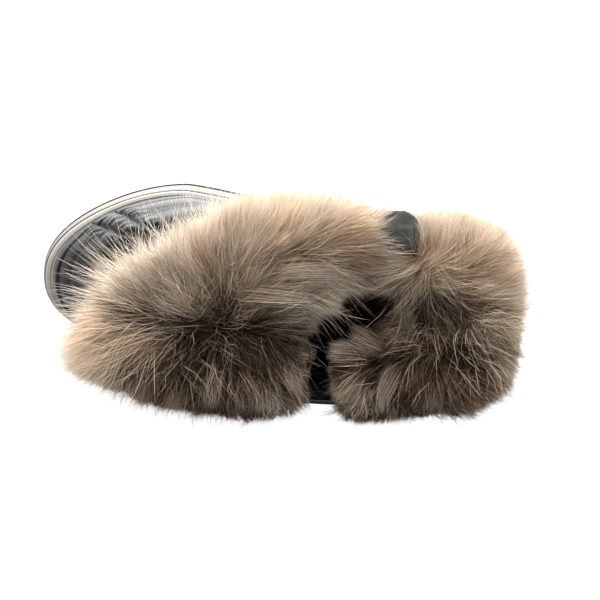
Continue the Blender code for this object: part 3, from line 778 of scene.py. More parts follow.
# Which way the hair lies: x, y, heading
COMB = np.array((
    (-97, -22, 195), (-86, 4, 170), (-75, 21, 165), (-64, 36, 150), (-42, 44, 135),
    (-22, 52, 115), (-3, 54, 95), (17, 54, 75), (37, 50, 56), (56, 50, 20), (62, 44, 8),
    (70, 34, 10), (55, 35, -10), (-50, 9, 138), (-36, 9, 118), (-20, 8, 100), (-7, 7, 84),
    (6, 5, 58), (20, 2, 26), (-22, 24, 112), (-6, 22, 80), (8, 22, 32), (27, 28, 6),
    (46, 23, -24), (56, 12, -48), (34, 10, -48), (42, -2, -78), (-50, -4, 218), (-34, -7, 238),
    (-20, -10, 248), (-6, -13, 256), (8, -15, 266), (22, -18, 280), (-72, -31, 205),
    (-64, -47, 228), (-43, -51, 248), (-21, -51, 262), (6, -49, 272), (27, -47, 282),
    (-30, -30, 238), (-8, -32, 262), (20, -34, 280), (94, 43, 62), (114, 45, 55), (136, 37, 45),
    (145, 16, 28), (96, 34, 56), (108, 28, 46), (122, 17, 34), (134, 6, 12), (146, -5, 0),
    (143, -26, -30), (137, -49, -50), (116, -55, -70), (95, -55, -85), (74, -52, -97),
    (57, -41, -125), (54, -21, -135), (63, -12, -112), (81, 10, -98), (94, 1, -80), (90, 17, -66),
    (102, 10, -54), (115, 1, -42), (128, -8, -28), (103, -13, -78), (118, -16, -62),
    (83, -12, -168), (73, -13, -155), (62, -19, -142), (80, 20, -84), (86, 16, -78),
    (78, 28, -58),
)) / (1000, 1000, 1)

# How the fur is coloured: x, y, lightness, warmth. The lightness is partly the fur's own tone and
# partly painted light and shade: high on the top and lateral side where the key light falls, low
# in the valleys by the mouth and on the shaded medial side.
TINTS_WITH_PAINTED_LIGHT = np.array((
    (-10, 49, 99, 25), (13, 53, 99, 25), (37, 55, 99, 35), (56, 49, 91, 60), (7, 41, 99, 35),
    (-23, 34, 88, 30), (-42, 28, 88, 25), (-61, 16, 98, 8), (-77, 3, 95, 20), (49, 39, 75, 90),
    (61, 31, 67, 90), (-10, 26, 84, 70), (7, 28, 95, 70), (22, 31, 94, 65), (-24, 16, 95, 60),
    (6, 12, 79, 45), (27, 8, 67, 35), (-62, 4, 69, 95), (-77, -10, 90, 70), (-92, -22, 99, 50),
    (-72, -27, 95, 50), (-55, -15, 72, 75), (-78, -36, 90, 45), (-64, -40, 93, 40),
    (-43, -31, 37, 60), (-45, 7, 18, 98), (-42, -4, 27, 70), (-18, -3, 13, 70), (-5, 8, 33, 75),
    (12, -5, 10, 65), (28, -12, 3, 60), (-25, -20, 7, 80), (-36, -42, 13, 70), (-24, -34, 3, 80),
    (-10, -42, 3, 80), (-8, -26, 33, 60), (7, -23, 27, 65), (27, -35, 30, 60), (5, -48, 23, 60),
    (20, -44, 33, 50), (10, 20, 79, 50), (34, 26, 75, 55), (44, 11, 75, 35), (59, 15, 72, 35),
    (43, -2, 66, 40), (30, 45, 99, 40), (75, 32, 99, 2), (78, 26, 98, 4), (86, 24, 93, 12),
    (101, 47, 99, 40), (103, 32, 99, 55), (118, 38, 97, 50), (135, 29, 97, 45), (110, 24, 88, 95),
    (122, 24, 93, 60), (139, 10, 94, 45), (137, -8, 84, 50), (121, 6, 54, 65), (82, 18, 59, 60),
    (94, 17, 56, 75), (87, 5, 3, 70), (101, 6, 7, 75), (111, 2, 17, 70), (101, -13, 10, 85),
    (81, -12, 10, 65), (121, -16, 13, 70), (81, -29, 13, 65), (63, -22, 10, 65),
    (59, -37, 78, 50), (96, -28, 7, 80), (112, -34, 7, 75), (126, -40, 27, 60),
    (137, -28, 57, 50), (91, -49, 3, 70), (110, -50, 7, 65), (75, -49, 20, 55),
)) / (1000, 1000, 100, 100)

# How long the hair is: x, y, length
LENGTHS = np.array((
    (-70, -20, 52), (-60, 10, 44), (-30, 30, 34), (0, 45, 27), (40, 45, 25), (-52, -36, 44),
    (-10, -42, 26), (30, -40, 22), (0, 10, 40), (30, 18, 44), (-10, -10, 32), (20, -20, 26),
    (55, 12, 34), (100, 40, 25), (130, 20, 25), (135, -20, 28), (120, -40, 28), (80, -42, 24),
    (60, -25, 22), (95, 5, 28), (110, -10, 28),
)) / 1000

# Where the dense fur ends, once round: x, y
OUTLINE = np.array((
    (-11, 53), (-24, 45), (-36, 36), (-44, 31), (-59, 25), (-69, 13), (-82, 0), (-89, -14),
    (-95, -23), (-90, -32), (-79, -38), (-57, -45), (-34, -53), (-11, -54), (9, -55), (23, -51),
    (42, -49), (58, -50), (72, -54), (98, -56), (123, -55), (138, -48), (144, -35), (146, -15),
    (147, 5), (146, 26), (138, 40), (123, 48), (103, 52), (92, 52), (70, 50), (57, 56), (37, 60),
    (17, 60), (2, 57),
)) / 1000
MIDDLE = np.array((0.030, -0.003))

# The eye that the places are seen from, where it looks, and the height they are read at
EYE = np.array((0.0319, 0.0782, 0.65))
EYE_AIM = (0.0319, -0.0248, 0.0)
CUFF_HEIGHT = 0.19

# Lines along which the hair parts, in metres
PARTINGS = (
    ((-0.044, 0.002), (-0.020, -0.001), (0.005, -0.005), (0.028, -0.010)),
    ((0.086, 0.027), (0.100, 0.020), (0.116, 0.009), (0.128, 0.000)),
)

# Locks laid over the rest: x, y, heading, its bend, length, lightness, warmth
# The locks' lightness is partly their own tone and partly painted shade: the darkest locks stand
# for the shadows between locks and in the valley.
LOCKS = np.array((
    (-49, -4, 197, 0, 42, 88, 60), (-54, -11, 203, 0, 42, 97, 45), (-46, -15, 208, 5, 40, 50, 65),
    (-57, -18, 206, 0, 38, 98, 40), (-44, -20, 214, 0, 38, 94, 45),
    (-49, -26, 218, 0, 32, 95, 35), (-36, -20, 220, 0, 34, 27, 60),
    (-34, -26, 226, 0, 30, 61, 40), (-63, -6, 194, 0, 36, 97, 60),
    (-39, -11, 205, -5, 40, 75, 60), (-70, -15, 204, 0, 28, 98, 45),
    (-64, -24, 212, 0, 26, 94, 40), (-60, 4, 190, 0, 32, 55, 95), (-51, 5, 184, 8, 30, 38, 95),
    (-67, 2, 192, 0, 28, 71, 85), (-73, -4, 196, 0, 26, 88, 65), (-36, 12, 164, 0, 34, 95, 20),
    (-44, 17, 160, 0, 36, 98, 8), (-34, 24, 150, 0, 32, 98, 15), (-27, 15, 140, -8, 30, 91, 45),
    (-24, 28, 134, 0, 28, 98, 25), (-18, 20, 118, -8, 28, 88, 60), (-12, 31, 112, 0, 26, 96, 35),
    (-12, 13, 102, -20, 28, 71, 80), (-2, 24, 95, -20, 26, 88, 50), (2, 35, 80, -10, 26, 98, 30),
    (11, 38, 70, -10, 26, 96, 40), (-5, 19, 72, -25, 20, 22, 90), (5, 22, 50, -30, 24, 52, 85),
    (13, 28, 52, -20, 26, 91, 60), (-8, 11, 32, -40, 44, 75, 40), (-1, 14, 26, -45, 44, 83, 25),
    (4, 8, 20, -45, 42, 67, 30), (9, 16, 18, -40, 42, 81, 30), (13, 7, 12, -50, 40, 66, 30),
    (19, 12, 5, -45, 40, 85, 25), (24, 5, -5, -50, 36, 80, 30), (32, 10, -10, -40, 36, 83, 25),
    (34, 2, -25, -45, 32, 71, 30), (42, 5, -25, -35, 30, 81, 25), (41, -2, -52, -30, 24, 81, 25),
    (36, -3, -80, 0, 20, 75, 30), (47, -1, -60, -10, 20, 85, 20), (22, 20, 20, -30, 32, 76, 50),
    (31, 25, 15, -30, 34, 75, 40), (24, 33, 46, 0, 26, 96, 40), (32, 38, 46, -10, 26, 96, 45),
    (39, 31, 30, -30, 30, 81, 70), (47, 36, 26, -30, 30, 76, 90), (50, 28, 5, -30, 22, 61, 97),
    (57, 33, 0, -25, 17, 61, 97), (60, 39, 5, -25, 28, 91, 30), (64, 31, -10, -25, 30, 97, 12),
    (68, 28, -20, -15, 34, 99, 2), (67, 25, -28, -15, 34, 97, 5), (55, 20, -12, -30, 34, 75, 50),
    (47, 15, -12, -30, 34, 78, 30), (57, 13, -30, -25, 30, 76, 30),
    (64, 18, -35, -20, 30, 88, 15), (-29, -17, 235, 0, 26, 22, 60),
    (-19, -22, 245, 0, 26, 16, 40), (-11, -17, 240, 0, 24, 6, 60), (-6, -26, 258, 0, 24, 12, 40),
    (4, -21, 284, 0, 22, 15, 50), (9, -29, 275, 0, 22, 60, 40), (17, -20, 300, -10, 22, 25, 50),
    (24, -28, 285, 0, 20, 60, 35), (-24, -33, 240, 0, 22, 62, 40), (-39, -34, 232, 0, 22, 57, 40),
    (-1, -38, 262, 0, 20, 38, 35), (14, -39, 280, 0, 20, 70, 35), (-14, -39, 255, 0, 20, 10, 40),
    (-44, -41, 236, 0, 18, 75, 40), (95, 33, 70, -10, 24, 96, 40), (103, 36, 62, -10, 24, 93, 45),
    (110, 31, 58, 0, 24, 67, 85), (118, 36, 52, 0, 24, 93, 45), (125, 28, 45, -10, 24, 71, 80),
    (118, 24, 50, -10, 22, 59, 95), (133, 22, 35, -10, 24, 93, 45), (110, 40, 64, 0, 20, 97, 35),
    (128, 37, 50, 0, 20, 94, 40), (133, 10, 15, -10, 24, 91, 45), (136, 0, 0, -10, 22, 95, 45),
    (133, -10, -15, -10, 24, 84, 45), (135, -20, -30, -10, 22, 86, 35),
    (90, 22, -14, -20, 32, 71, 45), (88, 19, -42, -15, 34, 48, 40), (93, 15, -55, 0, 30, 20, 60),
    (85, 12, -86, 0, 28, 42, 40), (103, 17, -24, -20, 28, 63, 90), (108, 8, -40, -10, 26, 25, 60),
    (113, 12, 20, -30, 24, 81, 70), (100, 5, -95, 0, 15, 99, 15), (98, 4, -88, 0, 14, 95, 20),
    (115, 0, -30, -15, 28, 54, 15), (123, 5, 30, -20, 22, 76, 50), (105, -9, -75, 20, 22, 33, 95),
    (118, -12, -148, 0, 20, 33, 85), (95, -13, -162, 0, 24, 12, 70),
    (108, -18, -140, 0, 22, 37, 50), (82, -16, -155, 0, 24, 26, 40),
    (75, -21, -142, 0, 24, 54, 35), (67, -26, -135, 0, 22, 72, 35),
    (61, -24, -150, 0, 18, 58, 30), (82, -30, -115, 0, 22, 50, 40),
    (93, -27, -110, 0, 22, 20, 50), (103, -33, -95, 0, 22, 53, 35),
    (113, -30, -80, 0, 22, 25, 50), (123, -28, -56, 0, 24, 53, 40),
    (133, -33, -45, 0, 20, 58, 35), (118, -43, -75, 0, 18, 53, 35), (98, -43, -95, 0, 18, 26, 35),
    (77, -40, -105, 0, 18, 53, 35), (58, -38, -130, 0, 16, 75, 35), (-39, -2, 176, 0, 22, 10, 70),
    (-31, -6, -22, 0, 24, 5, 60), (-24, -3, 62, 0, 20, 13, 70), (-16, -10, 152, 0, 22, 5, 60),
    (-9, -5, -36, 0, 24, 8, 60), (1, -10, 162, 0, 24, 5, 60), (7, -5, -12, 0, 24, 13, 60),
    (14, -11, -152, 0, 22, 7, 60), (22, -8, 14, 0, 22, 7, 60), (29, -13, -62, 0, 20, 5, 50),
    (-44, -6, 214, 0, 24, 20, 70), (-2, -1, 112, 0, 20, 17, 80), (7, 1, 32, -20, 24, 25, 70),
    (-21, 2, 128, 0, 22, 33, 80), (-31, 2, 150, 0, 24, 28, 60), (11, -16, 250, 0, 20, 7, 50),
    (-5, -15, 200, 0, 22, 7, 50), (-24, -13, 222, 0, 24, 12, 60), (83, 25, -80, 0, 26, 55, 60),
    (81, 19, -90, 0, 28, 59, 40), (86, 27, -52, 0, 30, 75, 40), (90, 28, -25, -10, 30, 85, 35),
    (92, 30, 10, -10, 26, 85, 50), (93, 24, -36, -10, 32, 59, 60), (78, 15, -96, 0, 24, 20, 50),
    (96, 28, 42, 0, 24, 94, 85), (72, 22, -22, 0, 62, 98, 5), (71, 19, -30, 0, 66, 59, 50),
    (89, 31, -34, -10, 40, 71, 45), (87, 27, -48, -8, 48, 50, 55), (92, 33, -8, -10, 44, 88, 40),
    (84, 21, -70, 0, 40, 25, 50), (94, 28, -20, -10, 40, 55, 60), (97, 25, -34, 0, 30, 55, 60),
    (90, 24, 14, 8, 30, 86, 75), (94, 21, 34, 6, 30, 88, 65), (91, 28, 32, 6, 26, 92, 50),
    (97, 25, 62, -8, 24, 90, 50),
)) / (1000, 1000, 1, 1, 1000, 100, 100)

# Dark places that stay free of hair: x, y, radius in tenths of a millimetre
CLEARINGS = np.array((
    (580, 10, 80), (680, 30, 65), (760, 40, 45), (480, -90, 85), (410, -180, 65), (410, -280, 65),
    (420, -380, 70), (430, -460, 70), (838, 408, 66),
)) / 10000


# First and last turn of each cuff piece
SPANS = {
    "front": (-float(turn_at(MEDIAL_GAP[0])), float(turn_at(LATERAL_GAP[0]))),
    "back": (float(turn_at(LATERAL_GAP[1])), 2 - float(turn_at(MEDIAL_GAP[1]))),
}
LIP = len(FUR_RINGS) - 1.0


def fur_surface(turn, level, name):
    """Points of the fur's ground, level 0 at the hem to LIP at the lip, before centring."""
    turn, level = np.broadcast_arrays(turn, level)
    share, side = place(turn)
    first, last = SPANS[name]
    near_end = np.clip(np.minimum(turn - first, last - turn) / 0.045, 0, 1)
    full = 0.15 + 0.85 * np.sqrt(1 - (1 - near_end) ** 2)
    out, back_in, up, drop = np.moveaxis(columns(FUR_RINGS, level), -1, 0)
    out, back_in, up = np.maximum(out, 0) * full, np.maximum(back_in, 0) * full, up * full
    if name == "front":
        outward = 0.56 + 0.16 * smooth(1 - share / 0.25)
        inward = np.where(side > 0, mix(1.45, 1.10, smooth(share / 0.60)),
                          mix(1.45, 1.25, smooth(share / 0.36)))
    else:
        outward = 0.48
        inward = np.where(side > 0, 1.0, mix(1.32, 1.0, smooth((share - 0.68) / 0.27)))
    collar = shell(COLLAR, share, side)
    hem = shell(HEM, share, side)
    rear = HEEL_BACK + SECTIONS[COLLAR, 4] * UPPER_LENGTH
    front = rear - SHAFT_DEPTH
    deep = np.where(side > 0, mix(*FUR_LATERAL, share), mix(*FUR_MEDIAL, share))
    front = front + back_in * inward * MOUTH_FRONT - out * outward * FUR_FRONT
    rear = rear + out * outward * FUR_BACK - back_in * inward * MOUTH_BACK
    half = SHAFT_WIDTH / 2 + out * outward * deep - back_in * inward * MOUTH_SIDE
    end = np.where(share < 0.5, FUR_ROUNDNESS[0], FUR_ROUNDNESS[1])
    power = mix(ROUNDNESS, end, np.clip(out, 0, 1))
    here = side * ring_shape(share, 1.0, 0.5, 1.0, 0.5, power=power)
    ahead = out * outward * smooth(1 - share / 0.5)
    x = mix(front, rear, share) + FUR_SKEW * ahead * here
    y = here * half - SHAFT_LEAN - FUR_SWING * ahead
    z = collar[..., 2] + up * FUR_RISE * 0.62 - drop * (collar[..., 2] - hem[..., 2])
    return np.stack((x, y, z), -1)


def make_ground(name):
    """The dark skin that the hair grows from."""
    across, levels = 90, np.linspace(0, LIP, 50)
    turns = np.linspace(*SPANS[name], across)
    outside = fur_surface(turns[None], levels[:, None], name)
    share, side = place(turns)
    hug = []
    for row, by, lift in ((COLLAR, -0.0040, 0.0006), (COLLAR, 0.0004, 0.0006), (9.5, 0.0004, 0),
                          (8.0, 0.0004, 0)):
        ring = shell(row, share, side)
        along = np.gradient(ring, axis=0)
        out = unit(np.stack((-along[:, 1], along[:, 0], np.zeros(len(ring))), -1))
        hug.append(ring + out * by + np.array((0, 0, lift)))
    stack = np.concatenate([outside, np.array(hug)])
    rows = len(stack)
    faces = grid_faces(rows, across, closed_rows=True, closed_columns=False)
    for end in (0, across - 1):
        faces.append(tuple(j * across + end for j in range(rows)))
    made = mesh_object(f"fur_ground_{name}", stack, faces, UNDERFUR)
    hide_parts(f"fur_cuff_{name}")


# Levels between which hairs stand, places that locks choose from, and metres of a parting
LOWEST_HAIR = 0.05
HIGHEST_HAIR = 6.98
LOCK_POOL = 40000
PARTING_WIDTH = 0.009

# Kinds of hair: curl, hold in a tuft, metres that tips pass the outline by, share of hairs
# that may cross a clearing
KINDS = {
    "soft": (0.25, 1.0, 0.0012, 0.004),
    "down": (0.3, 0.4, 0.001, 0.0),
    "guard": (0.45, 0.3, 0.0045, 0.02),
    "stray": (1.0, 0.0, 0.0060, 0.25),
    "lock": (0.2, 0.9, 0.003, 0.03),
}

# Hairs to a tuft, small and large
TUFTS = ((36, 250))


def near(table, where, power=3.0, floor=0.004):
    """Weights of a table's rows, seen from above, at each place."""
    gap = np.linalg.norm(where[:, None, :2] - table[None, :, :2], axis=-1)
    weight = 1 / (gap + floor) ** power
    return weight / weight.sum(1, keepdims=True)


def seen(where):
    """Places moved to the cuff's height along the lines to an eye above the boot."""
    share = (EYE[2] - CUFF_HEIGHT) / (EYE[2] - where[..., 2:])
    return EYE[:2] + (where[..., :2] - EYE[:2]) * share


def edge_reach(where):
    """How far the outline lies from the cuff's middle, in the direction of each place."""
    spoke = OUTLINE - MIDDLE
    angle = np.arctan2(spoke[:, 1], spoke[:, 0])
    order = np.argsort(angle)
    here = np.arctan2(where[..., 1] - MIDDLE[1], where[..., 0] - MIDDLE[0])
    return np.interp(here, angle[order], np.linalg.norm(spoke, axis=1)[order],
                     period=2 * math.pi)


def parting_nearness(where):
    """1 on the line where the hair parts, falling to 0 a centimetre or two away."""
    gaps = [np.linalg.norm(where[..., :2] - mix(np.array(a), np.array(b), t), axis=-1)
            for line in PARTINGS for a, b in zip(line, line[1:]) for t in (0, 0.25, 0.5, 0.75)]
    return hump(np.min(gaps, axis=0), 0, PARTING_WIDTH)


def roots(name, count, rng, messy=0.0):
    """Where hairs stand on a cuff piece: points, directions out, up and to the nearer end,
    levels and how far that end is."""
    span = SPANS[name]
    turns = np.linspace(*span, 241)
    levels = np.linspace(LOWEST_HAIR, LIP, 141)
    ground = fur_surface(turns[None], levels[:, None], name)
    across = ground[:, 1:] - ground[:, :-1]
    up = ground[1:] - ground[:-1]
    weight = np.linalg.norm(np.cross(across[:-1], up[:, :-1]), axis=-1)
    weight = weight * (1.0 + 0.5 * (levels[:-1, None] > 3.0))
    weight = weight * (1 + messy * parting_nearness(ground[:-1, :-1] + SHIFT))
    chosen = rng.choice(weight.size, count, p=(weight / weight.sum()).ravel())
    j, i = np.unravel_index(chosen, weight.shape)
    turn = turns[i] + rng.random(count) * (turns[1] - turns[0])
    level = np.minimum(levels[j] + rng.random(count) * (levels[1] - levels[0]), HIGHEST_HAIR)
    point = fur_surface(turn, level, name)
    along = fur_surface(turn + 1e-3, level, name) - point
    climb = fur_surface(turn, level + 0.01, name) - point
    out = unit(np.cross(climb, along))
    end = np.minimum(turn - span[0], span[1] - turn)
    toward = np.where(turn - span[0] < span[1] - turn, -1.0, 1.0)
    share, side = place(turn)
    ahead = shell(COLLAR, *place(turn + 1e-3)) - shell(COLLAR, share, side)
    return point + SHIFT, out, unit(climb), unit(ahead) * toward[:, None], level, end


def lock_roots(name, count, rng):
    """Roots of the locks that stand on this piece, and the number of each hair's lock."""
    pool = roots(name, LOCK_POOL, rng)
    spot = seen(pool[0]) + 0.03 * (pool[1][:, 2:] < 0.1)
    chosen, lock = [], []
    for number, (x, y) in enumerate(LOCKS[:, :2]):
        if (x < 0.060 + 0.38 * y) == (name == "front"):
            away = np.linalg.norm(spot - np.array((x, y)), axis=1)
            chosen.append(np.argsort(away)[:count])
            lock.append(np.full(count, number))
    chosen = np.concatenate(chosen)
    return [part[chosen] for part in pool], np.concatenate(lock)


def headings(degrees):
    """Level directions, 0 along +X and 90 along +Y."""
    angle = np.radians(degrees)
    return np.stack((np.cos(angle), np.sin(angle), 0 * angle), -1)


def turned_by(v, angle):
    """Directions turned about the upright axis."""
    c, s = np.cos(angle), np.sin(angle)
    return np.stack((v[:, 0] * c - v[:, 1] * s, v[:, 0] * s + v[:, 1] * c, v[:, 2]), -1)


def leaders(point, size, rng):
    """The number of each hair's leader, the nearest of a few hairs drawn by chance."""
    count = len(point)
    drawn = rng.choice(count, max(40, count // size), replace=False)
    tree = KDTree(len(drawn))
    for k, leader in enumerate(drawn):
        tree.insert(Vector(point[leader]), k)
    tree.balance()
    return drawn[np.array([tree.find(Vector(p))[1] for p in point])]


def fit_outline(kind, beyond, point, tip, level, toe, rng):
    """How much longer or shorter each hair gets, and which hairs are wisps over the toe."""
    count = len(point)
    tip, root = seen(tip), seen(point)
    gone = np.linalg.norm(tip - MIDDLE, axis=1)
    base = np.linalg.norm(root - MIDDLE, axis=1)
    spare = np.abs(rng.normal(0, 1, count)) * beyond
    wisp = (rng.random(count) < 0.32 * toe) & (kind == "guard")
    limit = edge_reach(tip) - 0.001 + spare * (1 + 0.3 * toe + 4.2 * wisp)
    limit = limit - 0.003 * toe * (kind in ("soft", "down"))
    fit = (limit - base) / np.maximum(gone - base, 1e-4)
    wall = (level > 2.0) & (level < 4.8) & (gone > base + 0.004) & (kind != "down")
    scale = np.where(gone > limit, np.clip(fit, 0.35, 1), 1.0)
    longer = np.clip(fit * rng.uniform(0.8, 1, count), 1, 1.6)
    return np.where(wall & (gone < limit), longer, scale), wisp


def first_crossing(point, path, steps, scale):
    """Share of each hair's length at which it enters a clearing, 1 if it doesn't."""
    first = np.ones(len(point))
    for t in np.linspace(1, 0.1, 10):
        at = float(np.interp(t, steps, np.arange(len(steps))))
        lower = min(int(at), len(steps) - 2)
        spot = mix(path[:, lower], path[:, lower + 1], at - lower)
        spot = seen(point + (spot - point) * scale[:, None])
        for x, y, radius in CLEARINGS:
            inside = np.linalg.norm(spot - np.array((x, y)), axis=1) < radius
            first = np.where(inside, t, first)
    return first


def grow(name, count, rng, kind):
    """Paths, directions out, lightness, warmth and steps of hairs of one kind."""
    curl, held, beyond, crossing = KINDS[kind]
    if kind == "lock":
        (point, out, climb, end_way, level, end), lock = lock_roots(name, count, rng)
        count = len(lock)
        comb = headings(LOCKS[lock, 2])
        length = LOCKS[lock, 4]
    else:
        messy = 14.0 if kind == "stray" else 0.6
        point, out, climb, end_way, level, end = roots(name, count, rng, messy)
        comb = unit(near(COMB, point) @ headings(COMB[:, 2]))
        length = near(LENGTHS, point) @ LENGTHS[:, 2]
        # The fur lies unevenly: its heading swings to and fro from place to place.
        swing = 0.34 * wave_field(point, 41, 260) + 0.30 * wave_field(point, 42, 620)
        comb = turned_by(comb, swing)

    # Neighbouring hairs lean with the leader nearest to them, in tufts of two sizes.
    fine, coarse = [leaders(point, size, rng) for size in TUFTS]
    if kind == "lock":
        fine = coarse = np.searchsorted(lock, lock)
    stray = rng.normal(0, 1, (count, 3))
    broad = np.stack([wave_field(point, 21 + k, 210) for k in range(3)], -1)
    broad += 0.7 * np.stack([wave_field(point, 31 + k, 520) for k in range(3)], -1)
    curl = curl * stray[:, 2] + 0.5 * stray[coarse, 2]

    top = smooth((out[:, 2] + 0.10) / 0.85)[:, None]
    inner = smooth((level - 5.6) / 0.8)
    toward_end = end_way * (0.5 * smooth(1 - end / 0.04) * (point[:, 1] > 0))[:, None]
    toward_end = toward_end * (name == "front")
    length = length * np.where(level < 1.5, 0.8, 1.0) * mix(1.0, 0.9, inner)
    length = length * rng.uniform(0.70, 1.0, count)
    part = parting_nearness(point) * (out[:, 2] > 0)
    lift, jitter, lean, swirl = 0.75 + 0.5 * part, 0.19 + 0.40 * part, 0.42, 0.42
    if kind == "guard":
        length, jitter = length * rng.uniform(1.0, 1.25, count), jitter + 0.12
    elif kind == "stray":
        length, jitter, lift = length * rng.uniform(0.6, 1.1, count), 0.60 + part, lift + 0.30
    elif kind == "lock":
        length, jitter, lift = length * 1.2, 0.14 + 0 * part, 0.95 + 0 * part
        lean, swirl, curl = 0.10, 0.08, 0.2 * stray[:, 2] + np.radians(LOCKS[lock, 3])
    elif kind == "down":
        length, jitter, lift = rng.uniform(0.008, 0.015, count), 0.45 + 0 * part, lift + 0.35
    length = length * (1 - 0.35 * part * rng.random(count))

    # The hair sets off along its comb, drops under its weight and keeps out of the ground.
    comb = comb - out * np.minimum(np.sum(comb * out, -1), 0)[:, None]
    weak = 1 - np.linalg.norm(comb, axis=-1, keepdims=True)
    comb = comb + climb * weak * 0.8 + out * weak * 0.4
    flow = unit(comb * (0.45 + 0.55 * top) - climb * (0.75 * (1 - top)) * (level < 4.6)[:, None]
                + toward_end + climb * (0.5 * inner * (out[:, 2] < 0.5))[:, None])
    facing = np.clip(np.sum(out * end_way, -1, keepdims=True), 0, 1)
    raised = unit(out * (1 - 0.85 * facing) + np.array((0, 0, 1.0)) * 0.85 * facing)
    start = unit(flow * 0.8 + raised * lift[:, None] + swirl * broad + 0.24 * stray[fine]
                 + lean * stray[coarse] + jitter[:, None] * stray)
    few = kind in ("soft", "down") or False
    steps = np.array((0.0, 0.5, 1.0)) if few else np.array((0.0, 0.3, 0.65, 1.0))
    drop = np.array((0.0, 0.0, -0.2 if kind == "stray" else -0.42))
    heading, path = start, [point - out * 0.0006]
    for a, b in zip(steps, steps[1:]):
        heading = unit(heading + (turned_by(flow, curl * b) * 0.8 + drop) * (b - a) * 1.5)
        into = np.minimum(np.sum(heading * out, -1) + 0.10, 0) * (level > 4.4)
        heading = heading - out * into[:, None]
        path.append(path[-1] + heading * (length * (b - a))[:, None])
    path = np.stack(path, 1)

    # Tufts close towards their tips.
    for head, most in ((coarse, 0.35), (fine, 0.62)):
        pull = rng.uniform(0.3, 1.0, count)[head] * most * held * (1 - 0.5 * part)
        beside = path[head] + (point - point[head])[:, None] * 0.45
        share = (pull[:, None] * steps[None] ** 1.4)[..., None]
        path = path * (1 - share) + beside * share

    # Tips end near the outline: hairs past it are shortened, those of the wall reach it.
    toe = smooth((0.004 - point[:, 0]) / 0.04) * smooth((point[:, 1] + 0.020) / 0.025)
    scale, wisp = fit_outline(kind, beyond, point, path[:, -1], level, toe, rng)

    # The gap and the mouth stay open: a hair that would cross them ends at their edge.
    first = first_crossing(point, path, steps, scale)
    kept = rng.random(count) < crossing
    stop = np.where((first < 1) & ~kept, first * rng.uniform(0.8, 1.15, count), 1.0)
    path = point[:, None] + (path - point[:, None]) * (scale * stop)[:, None, None]

    # Colour: darker hair varies more, and some guard hairs are pale or dark on their own.
    # Lightness from the tints table, partly the fur's own tone and partly painted light and shade
    tint_and_shade = near(TINTS_WITH_PAINTED_LIGHT, 0.35 * point + 0.65 * path[:, -1], 3.2, 0.005)
    light, warmth = tint_and_shade @ TINTS_WITH_PAINTED_LIGHT[:, 2], tint_and_shade @ TINTS_WITH_PAINTED_LIGHT[:, 3]
    uneven = 1.25 - 0.95 * light
    light += uneven * (0.07 * broad[:, 0] + rng.normal(0, 0.14, count)
                       + 0.12 * stray[fine, 0] + 0.14 * stray[coarse, 1])
    # Painted shade: hair low on the cuff, near the hem under its bulge, is darker.
    light -= 0.08 * smooth((1.6 - level) / 1.6)
    warmth += 0.18 * broad[:, 1] + rng.normal(0, 0.15, count)
    light += {"soft": -0.03 * uneven, "down": -0.14 * uneven, "guard": 0.02, "stray": 0.24,
              "lock": 0.0}[kind]
    # Hair along the partings is darker: painted shade in their hollow, together with the darker
    # fur there.
    light -= 0.06 * part
    if kind == "guard":
        light -= 0.50 * (light > 0.72) * (rng.random(count) < 0.08)
        light += 0.36 * (rng.random(count) < 0.26) + 0.4 * wisp
        warmth -= 0.6 * wisp
    if kind in ("guard", "stray"):
        warmth -= 0.15
    if kind == "lock":
        light = LOCKS[lock, 5] + rng.normal(0, 0.12, count)
        warmth = LOCKS[lock, 6] + rng.normal(0, 0.12, count)
    return path, out, np.clip(light, 0, 0.999), np.clip(warmth, 0.02, 0.98), steps


# How far hair may pass the part's box: a share of each side, and metres more
HAIR_REACH = 0.026
HAIR_REACH_MORE = 0.009


def keep_near(path, rng):
    """Shortens each hair that would end more than HAIR_REACH past the part's own box."""
    low, high = np.array(BOX_BEFORE[0]), np.array(BOX_BEFORE[1])
    room = HAIR_REACH * (high - low) + HAIR_REACH_MORE
    root = path[:, :1]
    away = path - root
    space = np.where(away > 0, high + room - root, root - low + room)
    share = np.min(space / np.maximum(np.abs(away), 1e-6), axis=(1, 2))
    share = np.where(share < 1, share * rng.uniform(0.82, 1.0, len(path)), 1.0)
    return root + away * share[:, None, None]


